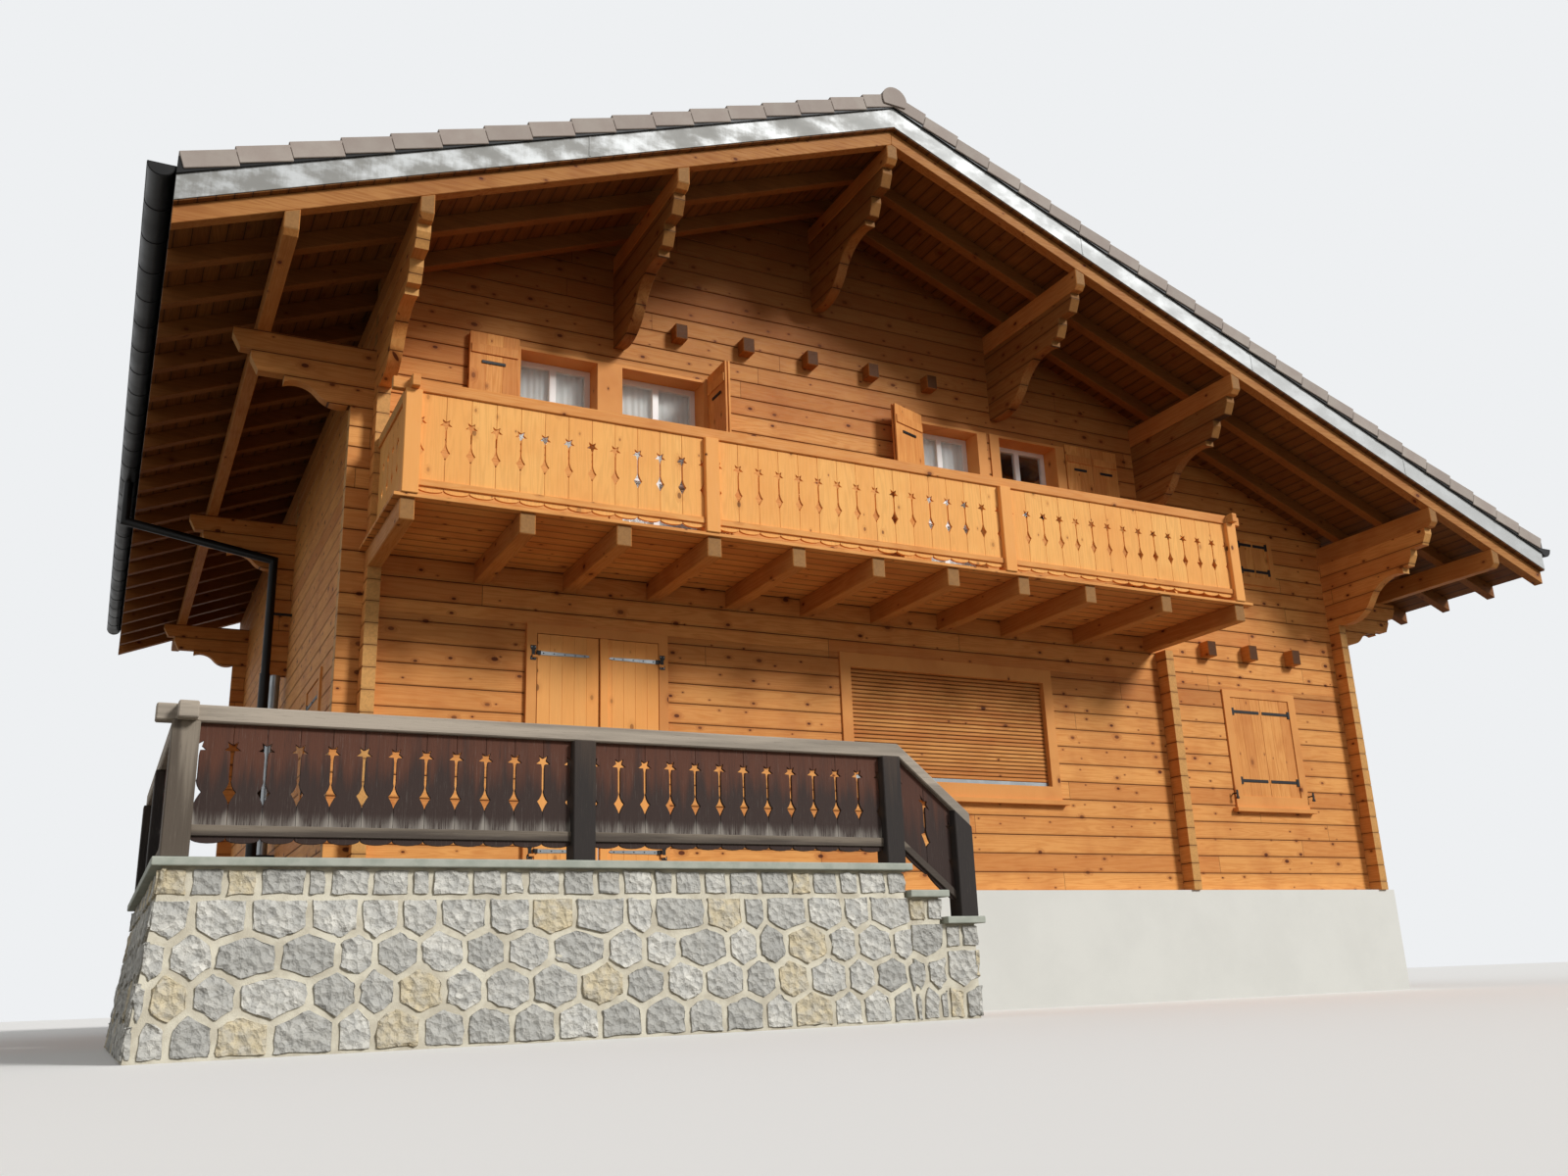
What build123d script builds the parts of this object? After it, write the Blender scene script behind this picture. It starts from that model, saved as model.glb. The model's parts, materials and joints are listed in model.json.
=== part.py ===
"""Alpine log chalet on a white plinth, with a carved balcony and a stone terrace.

X runs along the gable front from the outer face of the left log wall, Y runs into the house from
the outer face of the front log wall, and Z rises from the lowest ground. All sizes are millimetres.
A size whose name ends in rise is measured up from the top of the plinth.
"""

import os
from math import cos, radians, sin

from build123d import *

os.makedirs("parts", exist_ok=True)

# House
course = 176.0
timber = 106.0
groove = 8.0
house_width = 11000.0
house_depth = 9520.0
front_reach = 150.0
side_reach = 180.0
cross_wall_x = 8170.0
spine_wall_y = 4630.0

# Plinth and ground floor
plinth_height = 1050.0
plinth_reach = 120.0
plinth_thickness = 320.0
floor_rise = 35.0
floor_slab = 160.0

# Storeys
joist_top_rise = 2640.0
joist_depth = 165.0
joist_width = 120.0
board = 27.0
attic_beam_top_rise = 5160.0
attic_beam_depth = 150.0
attic_beam_width = 120.0
attic_floor_reach = 400.0
attic_beam_first = 2705.0
attic_beam_pitch = 692.0
beam_reach = 125.0
first_joist_x = 930.0
joist_pitch = 755.0
window_d_joist_x = 7130.0

# Roof
ridge_x = 4220.0
ridge_rise = 6620.0
slope = 0.397
eave_reach = 1640.0
verge_reach = 1600.0
rafter_depth = 140.0
rafter_width = 100.0
rafter_count = 22
covering = 345.0
tile_lip = 26.0
tile_gauge = 345.0
verge_overhang = 40.0
verge_flap = 130.0
flashing = 8.0
flashing_foot = 10.0
flashing_height = 218.0
ridge_cap_radius = 130.0
ridge_cap_rise = 60.0
ridge_cap_wall = 16.0
ridge_plate_height = 195.0

# Purlins, and the carved log ends that carry them outside
purlin_depth = 190.0
purlin_inset = 50.0
purlin_bevel = 45.0
mid_purlin_offset = 2090.0
eave_purlin_offset = 880.0
corbel_reach = 1450.0
corbel_steps = (0.0, 215.0, 350.0)
corbel_drop = 760.0
eave_corbel_reach = 1105.0
eave_corbel_steps = (0.0, 145.0, 405.0)
eave_corbel_drop = 528.0
nose = 62.0
hollow = 60.0
carved_bow = 0.17

# Gutters, pipes and the post under the inner wall's log ends
gutter_radius = 93.0
gutter_wall = 4.0
gutter_rise = 245.0
pipe_sides = 16
pipe_radius = 45.0
pipe_y = 4490.0
pipe_stand = 229.0
pipe_drop = 431.0
pipe_fall = 264.0
standpipe_radius = 54.0
standpipe_rise = 2640.0
clip = 24.0
clip_rises = (700.0, 3300.0)
side_post_radius = 55.0
side_post_stand = 106.0
side_post_gap = 3.0

# Ground floor door
door_left = 1316.0
door_right = 2560.0
door_head_rise = 2172.0
casing = 84.0
casing_stand = 40.0
leaf_gap = 6.0
meeting_gap = 11.0
leaf_rise = 10.0
leaf_thickness = 42.0
cover_strip_width = 70.0
cover_strip = 18.0
low_hinge_rise = 250.0
high_hinge_drop = 180.0
pin_stand = 15.0
pin_radius = 5.0
pin_head = 4.0
knuckle_radius = 9.0
knuckle_sides = 8
pin_sides = 12
lug_reach = 40.0
lug_height = 20.0
lug_clearance = 5.0
pin_clearance = 0.3
strap_thickness = 5.0
strap_height = 34.0
strap_length = 420.0
tang_length = 30.0

# Windows
lining = 28.0
lining_depth = 235.0
window_board_width = 91.0
window_board = 16.0
frame_width = 50.0
frame_depth = 50.0
mullion_width = 62.0
glass = 6.0
curtain = 12.0
curtain_lap = 26.0
shutter_frame_stand = 20.0
shutter_inset = 10.0
shutter_thickness = 32.0
shutter_gap = 4.0
shutter_surround = (90.0, 81.0, 110.0)
small_surround = (105.0, 81.0, 128.0)
upper_surround = (70.0, 70.0, 90.0)
small_window_width = 1080.0
back_window_width = 1000.0
upper_right_width = 600.0
upper_right_offset = 245.0
roller_side = 110.0
roller_head = 138.0
roller_foot = 140.0
roller_recess = 42.0
roller_thickness = 14.0
slat = 38.0
slat_groove = 5.0
bottom_bar_height = 52.0
bottom_bar = 26.0
window_sill_reach = 70.0
window_sill_height = 43.0
window_sill_lap = 45.0

# Balcony
balcony_reach = 1320.0
balcony_right_lap = 70.0
balcony_mid_posts = (2420.0, 5315.0)
last_joist_gap = 37.0
deck_nose = 25.0
deck_left_reach = 50.0
post = 120.0
post_inset = 80.0
rail_height = 90.0
rail_depth = 60.0
rail_end = 90.0
plank_thickness = 24.0
plank_drop = 40.0
railing_rise = 895.0
low_rail_rise = 75.0
low_rail_height = 50.0

# Terrace
terrace_left = -1360.0
terrace_right = 3540.0
terrace_reach = 2110.0
terrace_back = 1700.0
slab = 50.0
slab_nose = 30.0
batter = 110.0
tread_rise = 187.0
tread_going = 300.0
tread_count = 2
stair_width = 1150.0
terrace_post = 150.0
terrace_post_inset = 85.0
terrace_mid_post_x = 1118.0
side_mid_post_y = -200.0
terrace_rail_rise = 875.0
terrace_rail_height = 100.0
terrace_rail_depth = 110.0
terrace_rail_end = 90.0
terrace_low_rail_rise = 125.0
terrace_low_rail_height = 62.0
stair_rail_slope = 0.83
stair_plank_drop = 30.0

# Worked-out levels
sill = plinth_height
floor_level = sill + floor_rise
joist_top = sill + joist_top_rise
floor_beam_low = joist_top - joist_depth
upper_floor_level = joist_top + board
attic_beam_top = sill + attic_beam_top_rise
attic_beam_low = attic_beam_top - attic_beam_depth
door_head = sill + door_head_rise
half_course = course / 2
purlin_half = timber / 2
eave_left = -eave_reach
eave_right = house_width + eave_reach
verge_front = -verge_reach
verge_back = house_depth + verge_reach
tiles_front = verge_front - verge_overhang
tiles_back = verge_back + verge_overhang
purlin_front = verge_front + purlin_inset
purlin_back = verge_back - purlin_inset
back_outer = house_depth
back_inner = house_depth - timber
right_inner = house_width - timber


def rafter_underside(x):
    """Height of the underside of the rafters over a place on X."""
    return sill + ridge_rise - slope * abs(x - ridge_x)


def board_underside(x):
    """Height of the underside of the roof boards over a place on X."""
    return rafter_underside(x) + rafter_depth


def covering_underside(x):
    """Height of the top of the roof boards over a place on X."""
    return board_underside(x) + board


def joints_between(bottom, top, stagger):
    """Heights of the course joints between two levels; stagger is 0 or half a course."""
    level = sill + stagger
    levels = []
    while level < top - groove:
        if level > bottom + groove:
            levels.append(level)
        level += course
    return levels


def log_section(outer, inner, bottom, top, stagger):
    """Outline of a log wall's cross section, with a V joint at each course on its outer face."""
    inward = 1 if inner > outer else -1
    points = [(outer, bottom)]
    for level in joints_between(bottom, top, stagger):
        points += [(outer, level - groove), (outer + inward * groove, level), (outer, level + groove)]
    return points + [(outer, top), (inner, top), (inner, bottom)]


def wall_along_x(start, end, outer, inner, bottom, top):
    """Courses that run along X, with their joints on the whole courses."""
    with BuildPart() as wall:
        with BuildSketch(Plane.YZ.offset(start)):
            with BuildLine():
                Polyline(*log_section(outer, inner, bottom, top, 0), close=True)
            make_face()
        extrude(amount=end - start)
    return wall.part


def wall_along_y(start, end, outer, inner, bottom, top):
    """Courses that run along Y, half a course higher than those along X."""
    with BuildPart() as wall:
        with BuildSketch(Plane.XZ.offset(-start)):
            with BuildLine():
                Polyline(*log_section(outer, inner, bottom, top, half_course), close=True)
            make_face()
        extrude(amount=start - end)
    return wall.part


def box_between(low, high):
    """A plain squared piece between two corners."""
    with BuildPart(Plane.XY.offset(low[2])) as piece:
        with Locations(((low[0] + high[0]) / 2, (low[1] + high[1]) / 2)):
            Box(*(b - a for a, b in zip(low, high)), align=(Align.CENTER, Align.CENTER, Align.MIN))
    return piece.part


def prism_along_x(points, start, end):
    """A straight piece along X with an outline of points in Y and Z."""
    with BuildPart() as piece:
        with BuildSketch(Plane.YZ.offset(start)):
            with BuildLine():
                Polyline(*points, close=True)
            make_face()
        extrude(amount=end - start)
    return piece.part


def prism_along_y(points, start, end):
    """A straight piece along Y with an outline of points in X and Z."""
    with BuildPart() as piece:
        with BuildSketch(Plane.XZ.offset(-start)):
            with BuildLine():
                Polyline(*points, close=True)
            make_face()
        extrude(amount=start - end)
    return piece.part


def laps(x, y, bottom, top, stagger):
    """Housings in the lower half of each log, where it sits down over the log that crosses it."""
    full = []
    short = []
    level = sill + stagger
    while level < top:
        low = max(level, bottom)
        high = min(level + half_course, top)
        if high - low == half_course:
            full.append((x + purlin_half, (low + high) / 2))
        elif high > low:
            short.append(((x + purlin_half, (low + high) / 2), high - low))
        level += course
    with BuildPart() as cut:
        with BuildSketch(Plane.XZ.offset(-y)):
            with Locations(*full):
                Rectangle(timber, half_course)
            for place, height in short:
                with Locations(place):
                    Rectangle(timber, height)
        extrude(amount=-timber)
    return cut.part


def spot_from(wall, outward, top):
    """Places a point by how far it lies outside a wall's face and how far below a level."""

    def spot(reach, depth):
        return (wall + outward * reach, top - depth)

    return spot


def bowed(start, end, share):
    """Middle of an arc between two points given by reach and depth, bowed out by a share of its span."""
    out = (start[0] + end[0]) / 2 + share * (end[1] - start[1])
    down = (start[1] + end[1]) / 2 + share * (start[0] - end[0])
    return out, down


def carved_edges(spot, reach, steps, root, drop):
    """Underside of stacked log ends: a nose and a bevel under each, then a long double curve."""
    for index, (step, next_step) in enumerate(zip(steps, steps[1:])):
        outer = reach - step
        top = index * course
        ends = [(outer, top), (outer, top + nose), (outer - hollow, top + course)]
        Polyline(*(spot(*end) for end in ends), spot(reach - next_step, top + course))
    last_top = (len(steps) - 1) * course
    lip = (reach - steps[-1], last_top + nose)
    foot = (root, drop)
    middle = ((lip[0] + foot[0]) / 2, (lip[1] + foot[1]) / 2)
    Line(spot(lip[0], last_top), spot(*lip))
    ThreePointArc(spot(*lip), spot(*bowed(lip, middle, -carved_bow)), spot(*middle))
    ThreePointArc(spot(*middle), spot(*bowed(middle, foot, carved_bow)), spot(*foot))


def purlin_section(x):
    """Outline of a purlin whose top is planed to the slope that it carries."""
    left, right = x - purlin_half, x + purlin_half
    bottom = rafter_underside(x) - purlin_depth
    top = [(right, rafter_underside(right)), (left, rafter_underside(left))]
    if left < ridge_x < right:
        top.insert(1, (ridge_x, rafter_underside(ridge_x)))
    return [(left, bottom), (right, bottom)] + top


purlin_places = {
    "eave_left": -eave_purlin_offset,
    "wall_left": purlin_half,
    "mid_left": ridge_x - mid_purlin_offset,
    "ridge": ridge_x,
    "mid_right": ridge_x + mid_purlin_offset,
    "cross": cross_wall_x + purlin_half,
    "wall_right": house_width - purlin_half,
    "eave_right": house_width + eave_purlin_offset,
}
gable_purlins = [x for name, x in purlin_places.items() if not name.startswith("eave")]
corbel_places = [purlin_places[name] for name in ("mid_left", "ridge", "mid_right", "cross")]


def purlin_prism(places, start, end):
    """Purlins at several places, from one Y to another."""
    with BuildPart() as prism:
        with BuildSketch(Plane.XZ.offset(-start)):
            for x in places:
                with BuildLine():
                    Polyline(*purlin_section(x), close=True)
                make_face()
        extrude(amount=start - end)
    return prism.part


def keep(builder, name):
    """Label a finished sub-part and write it."""
    builder.part.label = name
    export_step(builder.part, f"parts/{name}.step")


# White rendered plinth, run down to the lowest ground, with the ground floor slab inside its top
plinth_low = (-plinth_reach, -plinth_reach)
plinth_high = (house_width + plinth_reach, house_depth + plinth_reach)
inner_low = tuple(v + plinth_thickness for v in plinth_low)
inner_high = tuple(v - plinth_thickness for v in plinth_high)
side_post_place = (-side_post_stand, spine_wall_y + purlin_half)
with BuildPart() as plinth:
    add(box_between((*plinth_low, 0), (*plinth_high, plinth_height)))
    add(box_between((*inner_low, 0), (*inner_high, plinth_height)), mode=Mode.SUBTRACT)
    with Locations(side_post_place):
        lowest = (Align.CENTER, Align.CENTER, Align.MIN)
        Cylinder(side_post_radius + side_post_gap, plinth_height, align=lowest, mode=Mode.SUBTRACT)
keep(plinth, "plinth")

with BuildPart() as ground_floor:
    add(box_between((*inner_low, sill - floor_slab), (*inner_high, sill)))
    add(box_between((timber, timber, sill), (cross_wall_x, back_inner, floor_level)))
    right_room = (cross_wall_x + timber, timber, sill)
    add(box_between(right_room, (right_inner, back_inner, floor_level)))
keep(ground_floor, "ground_floor")

# Openings in the walls: from, to, bottom and top, the heights as rises
lower_sill_rise = 858.0
lower_head_rise = 2140.0
upper_sill_rise = 3760.0
upper_head_rise = 4680.0
deck_rise = joist_top_rise + board
roller_window = (4280.0, 6720.0, lower_sill_rise, door_head_rise)
right_room_x = (cross_wall_x + timber + right_inner) / 2
small_window = (
    right_room_x - small_window_width / 2,
    right_room_x + small_window_width / 2,
    lower_sill_rise,
    lower_head_rise,
)
window_a = (1190.0, 1948.0, upper_sill_rise, upper_head_rise)
door_b = (2130.0, 2985.0, deck_rise, upper_head_rise)
door_c = (5340.0, 6090.0, deck_rise, upper_head_rise)
window_d = (6313.0, 7110.0, upper_sill_rise, upper_head_rise)
upper_right_x = right_room_x + upper_right_offset
right_window = (
    upper_right_x - upper_right_width / 2,
    upper_right_x + upper_right_width / 2,
    3400.0,
    4000.0,
)
front_lower_windows = [roller_window, small_window]
front_upper_windows = [window_a, door_b, door_c, window_d, right_window]
back_windows = [
    (1500.0, 2500.0, lower_sill_rise, lower_head_rise),
    (5000.0, 6000.0, lower_sill_rise, lower_head_rise),
    (
        right_room_x - back_window_width / 2,
        right_room_x + back_window_width / 2,
        lower_sill_rise,
        lower_head_rise,
    ),
    (2130.0, 2905.0, upper_sill_rise, upper_head_rise),
    (5340.0, 6115.0, upper_sill_rise, upper_head_rise),
]
side_windows = [
    (1900.0, 2800.0, lower_sill_rise, lower_head_rise),
    (6300.0, 7200.0, lower_sill_rise, lower_head_rise),
]
left_upper_window = (6300.0, 7200.0, 3560.0, 4500.0)
left_windows = side_windows + [left_upper_window]

# Beams that run through the front wall
outer_joist_x = cross_wall_x - joist_width / 2 - last_joist_gap
joist_places = (
    [purlin_half]
    + [first_joist_x + joist_pitch * index for index in range(8)]
    + [window_d_joist_x, outer_joist_x]
)
stub_beam_places = [right_room_x + offset for offset in (-705.0, -95.0, 565.0)]
attic_beam_places = [attic_beam_first + attic_beam_pitch * index for index in range(5)]

# Tops of the side walls, under their plates, and of the carved ends under the eave purlins
wall_head = board_underside(ridge_x)
left_plate = rafter_underside(purlin_places["wall_left"]) - purlin_depth
right_plate = rafter_underside(purlin_places["wall_right"]) - purlin_depth
left_eave_seat = rafter_underside(purlin_places["eave_left"]) - purlin_depth
right_eave_seat = rafter_underside(purlin_places["eave_right"]) - purlin_depth


def across(face, along, depth):
    """Plan of a point given by its place along a wall and its depth behind the wall's outer face."""
    return {
        "front": (along, depth),
        "back": (along, house_depth - depth),
        "left": (depth, along),
        "right": (house_width - depth, along),
    }[face]


def wall_box(face, low, high):
    """A squared piece in a wall, its corners given along the wall, behind its face and as rises."""
    near = across(face, low[0], low[1])
    far = across(face, high[0], high[1])
    lowest = (min(near[0], far[0]), min(near[1], far[1]), sill + low[2])
    return box_between(lowest, (max(near[0], far[0]), max(near[1], far[1]), sill + high[2]))


def wall_holes(face, openings):
    """Squared holes right through a wall."""
    return [wall_box(face, (a, 0, low), (b, timber, high)) for a, b, low, high in openings]


def beam_holes(places, width, low, high):
    """Holes where beams run through the front wall."""
    return [box_between((x - width / 2, 0, low), (x + width / 2, timber, high)) for x in places]


def corbel_holes(front, back):
    """Holes where the carved log ends run through a gable wall."""
    return [
        box_between(
            (x - purlin_half, front, rafter_underside(x) - purlin_depth - corbel_drop),
            (x + purlin_half, back, rafter_underside(x) - purlin_depth),
        )
        for x in corbel_places
    ]


def gable_prism(base, start, end):
    """The space of a gable wall, with log ends at its corners and carved ends under the eaves."""
    with BuildPart() as prism:
        with BuildSketch(Plane.XZ.offset(-start)):
            with BuildLine():
                for wall, outward, seat in ((0, -1, left_eave_seat), (house_width, 1, right_eave_seat)):
                    spot = spot_from(wall, outward, seat)
                    carved_edges(spot, eave_corbel_reach, eave_corbel_steps, side_reach, eave_corbel_drop)
                    Line(spot(side_reach, eave_corbel_drop), spot(side_reach, seat - base))
                    slope_top = (ridge_x, board_underside(ridge_x))
                    Polyline(spot(eave_corbel_reach, 0), spot(0, 0), (wall, board_underside(wall)), slope_top)
                Line((-side_reach, base), (house_width + side_reach, base))
            make_face()
        extrude(amount=start - end)
    return prism.part


with BuildPart() as front_wall_lower_left:
    add(wall_along_x(-side_reach, door_left, 0, timber, sill, door_head))
    add(laps(0, 0, sill, door_head, 0), mode=Mode.SUBTRACT, clean=False)
keep(front_wall_lower_left, "front_wall_lower_left")

with BuildPart() as front_wall_lower_right:
    add(wall_along_x(door_right, house_width + side_reach, 0, timber, sill, door_head))
    cuts = [laps(x, 0, sill, door_head, 0) for x in (cross_wall_x, right_inner)]
    cuts += wall_holes("front", front_lower_windows)
    add(cuts, mode=Mode.SUBTRACT, clean=False)
keep(front_wall_lower_right, "front_wall_lower_right")

gable_left = -eave_corbel_reach
gable_right = house_width + eave_corbel_reach
with BuildPart() as front_wall_upper:
    add(wall_along_x(gable_left, gable_right, 0, timber, door_head, wall_head))
    add(gable_prism(door_head, 0, timber), mode=Mode.INTERSECT, clean=False)
    cuts = [
        laps(0, 0, door_head, left_plate, 0),
        laps(cross_wall_x, 0, door_head, floor_beam_low, 0),
        laps(right_inner, 0, door_head, right_plate, 0),
        purlin_prism(gable_purlins, 0, timber),
    ]
    cuts += corbel_holes(0, timber)
    cuts += wall_holes("front", front_upper_windows)
    cuts += beam_holes(joist_places[1:] + stub_beam_places, joist_width, floor_beam_low, joist_top)
    cuts += beam_holes(attic_beam_places, attic_beam_width, attic_beam_low, attic_beam_top)
    add(cuts, mode=Mode.SUBTRACT, clean=False)
keep(front_wall_upper, "front_wall_upper")

# Back wall, with the same storeys and gable; the walls that cross it run through it
with BuildPart() as back_wall:
    add(wall_along_x(gable_left, gable_right, back_outer, back_inner, sill, wall_head))
    add(gable_prism(sill, back_inner, back_outer), mode=Mode.INTERSECT, clean=False)
    cuts = [purlin_prism(gable_purlins, back_inner, back_outer)]
    for x, top in ((0, left_plate), (cross_wall_x, floor_beam_low), (right_inner, right_plate)):
        cuts.append(box_between((x, back_inner, sill), (x + timber, back_outer, top)))
    cuts += corbel_holes(back_inner, back_outer)
    cuts += wall_holes("back", back_windows)
    add(cuts, mode=Mode.SUBTRACT, clean=False)
keep(back_wall, "back_wall")

# Side walls and the inner walls
log_end_front = -front_reach
log_end_back = house_depth + front_reach


def side_elevation(x, top):
    """The space of a side wall, with plain log ends below and carved ends under its plate."""
    with BuildPart() as prism:
        with BuildSketch(Plane.YZ.offset(x)):
            with BuildLine():
                for wall, outward in ((0, -1), (house_depth, 1)):
                    spot = spot_from(wall, outward, top)
                    carved_edges(spot, corbel_reach, corbel_steps, front_reach, corbel_drop)
                    Line(spot(front_reach, corbel_drop), spot(front_reach, top - sill))
                Line((log_end_front, sill), (log_end_back, sill))
                Line((-corbel_reach, top), (house_depth + corbel_reach, top))
            make_face()
        extrude(amount=timber)
    return prism.part


with BuildPart() as left_wall:
    add(wall_along_y(-corbel_reach, house_depth + corbel_reach, 0, timber, sill, left_plate))
    add(side_elevation(0, left_plate), mode=Mode.INTERSECT, clean=False)
    cuts = [laps(0, 0, sill, left_plate, half_course)]
    spine_low = (0, spine_wall_y, upper_floor_level)
    cuts.append(box_between(spine_low, (timber, spine_wall_y + timber, left_plate)))
    cuts += wall_holes("left", left_windows)
    cuts.append(box_between((0, log_end_front, floor_beam_low), (timber, 0, upper_floor_level)))
    add(cuts, mode=Mode.SUBTRACT, clean=False)
keep(left_wall, "left_wall")

with BuildPart() as right_wall:
    add(wall_along_y(-corbel_reach, house_depth + corbel_reach, house_width, right_inner, sill, right_plate))
    add(side_elevation(right_inner, right_plate), mode=Mode.INTERSECT, clean=False)
    cuts = [laps(right_inner, 0, sill, right_plate, half_course)]
    cuts += wall_holes("right", side_windows)
    add(cuts, mode=Mode.SUBTRACT, clean=False)
keep(right_wall, "right_wall")

with BuildPart() as cross_wall:
    cross_right = cross_wall_x + timber
    add(wall_along_y(log_end_front, log_end_back, cross_wall_x, cross_right, sill, floor_beam_low))
    add(laps(cross_wall_x, 0, sill, floor_beam_low, half_course), mode=Mode.SUBTRACT, clean=False)
keep(cross_wall, "cross_wall")

with BuildPart() as spine_wall:
    spine_back = spine_wall_y + timber
    start = -eave_corbel_reach
    add(wall_along_x(start, cross_wall_x, spine_wall_y, spine_back, upper_floor_level, attic_beam_low))
    with BuildSketch(Plane.XZ.offset(-spine_wall_y)):
        with BuildLine():
            spot = spot_from(0, -1, left_eave_seat)
            attic_edge = ridge_x - (rafter_underside(ridge_x) - attic_beam_low) / slope
            carved_edges(spot, eave_corbel_reach, eave_corbel_steps, side_reach, eave_corbel_drop)
            Polyline(
                spot(side_reach, eave_corbel_drop),
                (-side_reach, upper_floor_level),
                (cross_wall_x, upper_floor_level),
                (cross_wall_x, attic_beam_low),
                (attic_edge, attic_beam_low),
                (timber, rafter_underside(timber)),
                (timber, left_plate),
                (0, left_plate),
                spot(0, 0),
                spot(eave_corbel_reach, 0),
            )
        make_face()
    extrude(amount=-timber, mode=Mode.INTERSECT)
keep(spine_wall, "spine_wall")

# Round post that stands under the spine wall's log ends
with BuildPart() as side_post:
    with Locations(side_post_place):
        Cylinder(side_post_radius, upper_floor_level, align=(Align.CENTER, Align.CENTER, Align.MIN))
keep(side_post, "side_post")

# Floors, on beams that run out through the front wall and carry the balcony
with BuildPart() as floor_beams:
    for x in joist_places[1:]:
        low = (x - joist_width / 2, -balcony_reach, floor_beam_low)
        add(box_between(low, (x + joist_width / 2, back_inner, joist_top)))
    add(box_between((0, -balcony_reach, floor_beam_low), (timber, 0, joist_top)))
    for x in stub_beam_places:
        low = (x - joist_width / 2, -beam_reach, floor_beam_low)
        add(box_between(low, (x + joist_width / 2, back_inner, joist_top)))
keep(floor_beams, "floor_beams")

with BuildPart() as upper_floor:
    add(box_between((timber, timber, joist_top), (right_inner, back_inner, upper_floor_level)))
keep(upper_floor, "upper_floor")

with BuildPart() as attic_beams:
    for x in attic_beam_places:
        low = (x - attic_beam_width / 2, -beam_reach, attic_beam_low)
        add(box_between(low, (x + attic_beam_width / 2, back_inner, attic_beam_top)))
keep(attic_beams, "attic_beams")

with BuildPart() as attic_floor:
    low = (attic_beam_places[0] - attic_floor_reach, timber, attic_beam_top)
    high = (attic_beam_places[-1] + attic_floor_reach, back_inner, attic_beam_top + board)
    add(box_between(low, high))
keep(attic_floor, "attic_floor")

# Roof timbers
with BuildPart() as purlins:
    add(purlin_prism(purlin_places.values(), purlin_front, purlin_back))
    heads = purlins.faces().filter_by(Axis.Y)
    lower_edges = [face.edges().filter_by(Axis.X).sort_by(Axis.Z)[0] for face in heads]
    chamfer(lower_edges, length=purlin_bevel)
keep(purlins, "purlins")


def corbel(x, wall, outward):
    """Carved log ends under one purlin, run through the gable wall."""
    spot = spot_from(wall, outward, rafter_underside(x) - purlin_depth)
    with BuildPart() as carved:
        with BuildSketch(Plane.YZ.offset(x - purlin_half)):
            with BuildLine():
                carved_edges(spot, corbel_reach, corbel_steps, 0, corbel_drop)
                inside = [spot(0, corbel_drop), spot(-timber, corbel_drop), spot(-timber, 0)]
                Polyline(*inside, spot(corbel_reach, 0))
            make_face()
        extrude(amount=timber)
    return carved.part


with BuildPart() as front_corbels:
    add([corbel(x, 0, -1) for x in corbel_places])
keep(front_corbels, "front_corbels")

with BuildPart() as back_corbels:
    add([corbel(x, house_depth, 1) for x in corbel_places])
keep(back_corbels, "back_corbels")

rafter_pitch = (purlin_back - purlin_front - rafter_width) / (rafter_count - 1)
rafter_places = [purlin_front + rafter_width / 2 + rafter_pitch * index for index in range(rafter_count)]


def slope_prism(eave, low_height, high_height, start, end):
    """One layer of a roof slope, between two heights over each place on X."""
    section = [
        (eave, low_height(eave)),
        (ridge_x, low_height(ridge_x)),
        (ridge_x, high_height(ridge_x)),
        (eave, high_height(eave)),
    ]
    return prism_along_y(section, start, end)


def rafter_set(eave):
    """All rafters of one slope."""
    half = rafter_width / 2
    return [slope_prism(eave, rafter_underside, board_underside, y - half, y + half) for y in rafter_places]


with BuildPart() as rafters_left:
    add(rafter_set(eave_left))
keep(rafters_left, "rafters_left")

with BuildPart() as rafters_right:
    add(rafter_set(eave_right))
keep(rafters_right, "rafters_right")

with BuildPart() as roof_boards_left:
    add(slope_prism(eave_left, board_underside, covering_underside, verge_front, verge_back))
keep(roof_boards_left, "roof_boards_left")

with BuildPart() as roof_boards_right:
    add(slope_prism(eave_right, board_underside, covering_underside, verge_front, verge_back))
keep(roof_boards_right, "roof_boards_right")


def tile_section(eave):
    """Outline across the tiles of one slope, a step up at the lower edge of each course."""
    across_slope = abs(ridge_x - eave)
    toward = 1 if ridge_x > eave else -1
    steps = round(across_slope / tile_gauge)
    gauge = across_slope / steps
    points = [(eave, covering_underside(eave))]
    for index in range(steps):
        low = eave + toward * gauge * index
        high = low + toward * gauge
        points.append((low, covering_underside(low) + covering))
        points.append((high, covering_underside(high) + covering - tile_lip))
    return points + [(ridge_x, covering_underside(ridge_x))]


def flap_underside(x):
    """Height of the lower edge of the verge tiles' flaps over a place on X."""
    return covering_underside(x) + covering - verge_flap


def tiles_of(eave):
    """Battens and tiles of one slope, whose verge tiles hang over the flashing."""
    with BuildPart() as tiles:
        add(prism_along_y(tile_section(eave), tiles_front, tiles_back))
        under_flaps = (eave, covering_underside, flap_underside)
        add(slope_prism(*under_flaps, tiles_front, verge_front), mode=Mode.SUBTRACT)
        add(slope_prism(*under_flaps, verge_back, tiles_back), mode=Mode.SUBTRACT)
    return tiles.part


with BuildPart() as roof_tiles_left:
    add(tiles_of(eave_left))
keep(roof_tiles_left, "roof_tiles_left")

with BuildPart() as roof_tiles_right:
    add(tiles_of(eave_right))
keep(roof_tiles_right, "roof_tiles_right")

# Ridge caps, bedded on the top course of tiles at both sides, with a round plate at each gable
ridge_top = covering_underside(ridge_x) + covering - tile_lip


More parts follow.
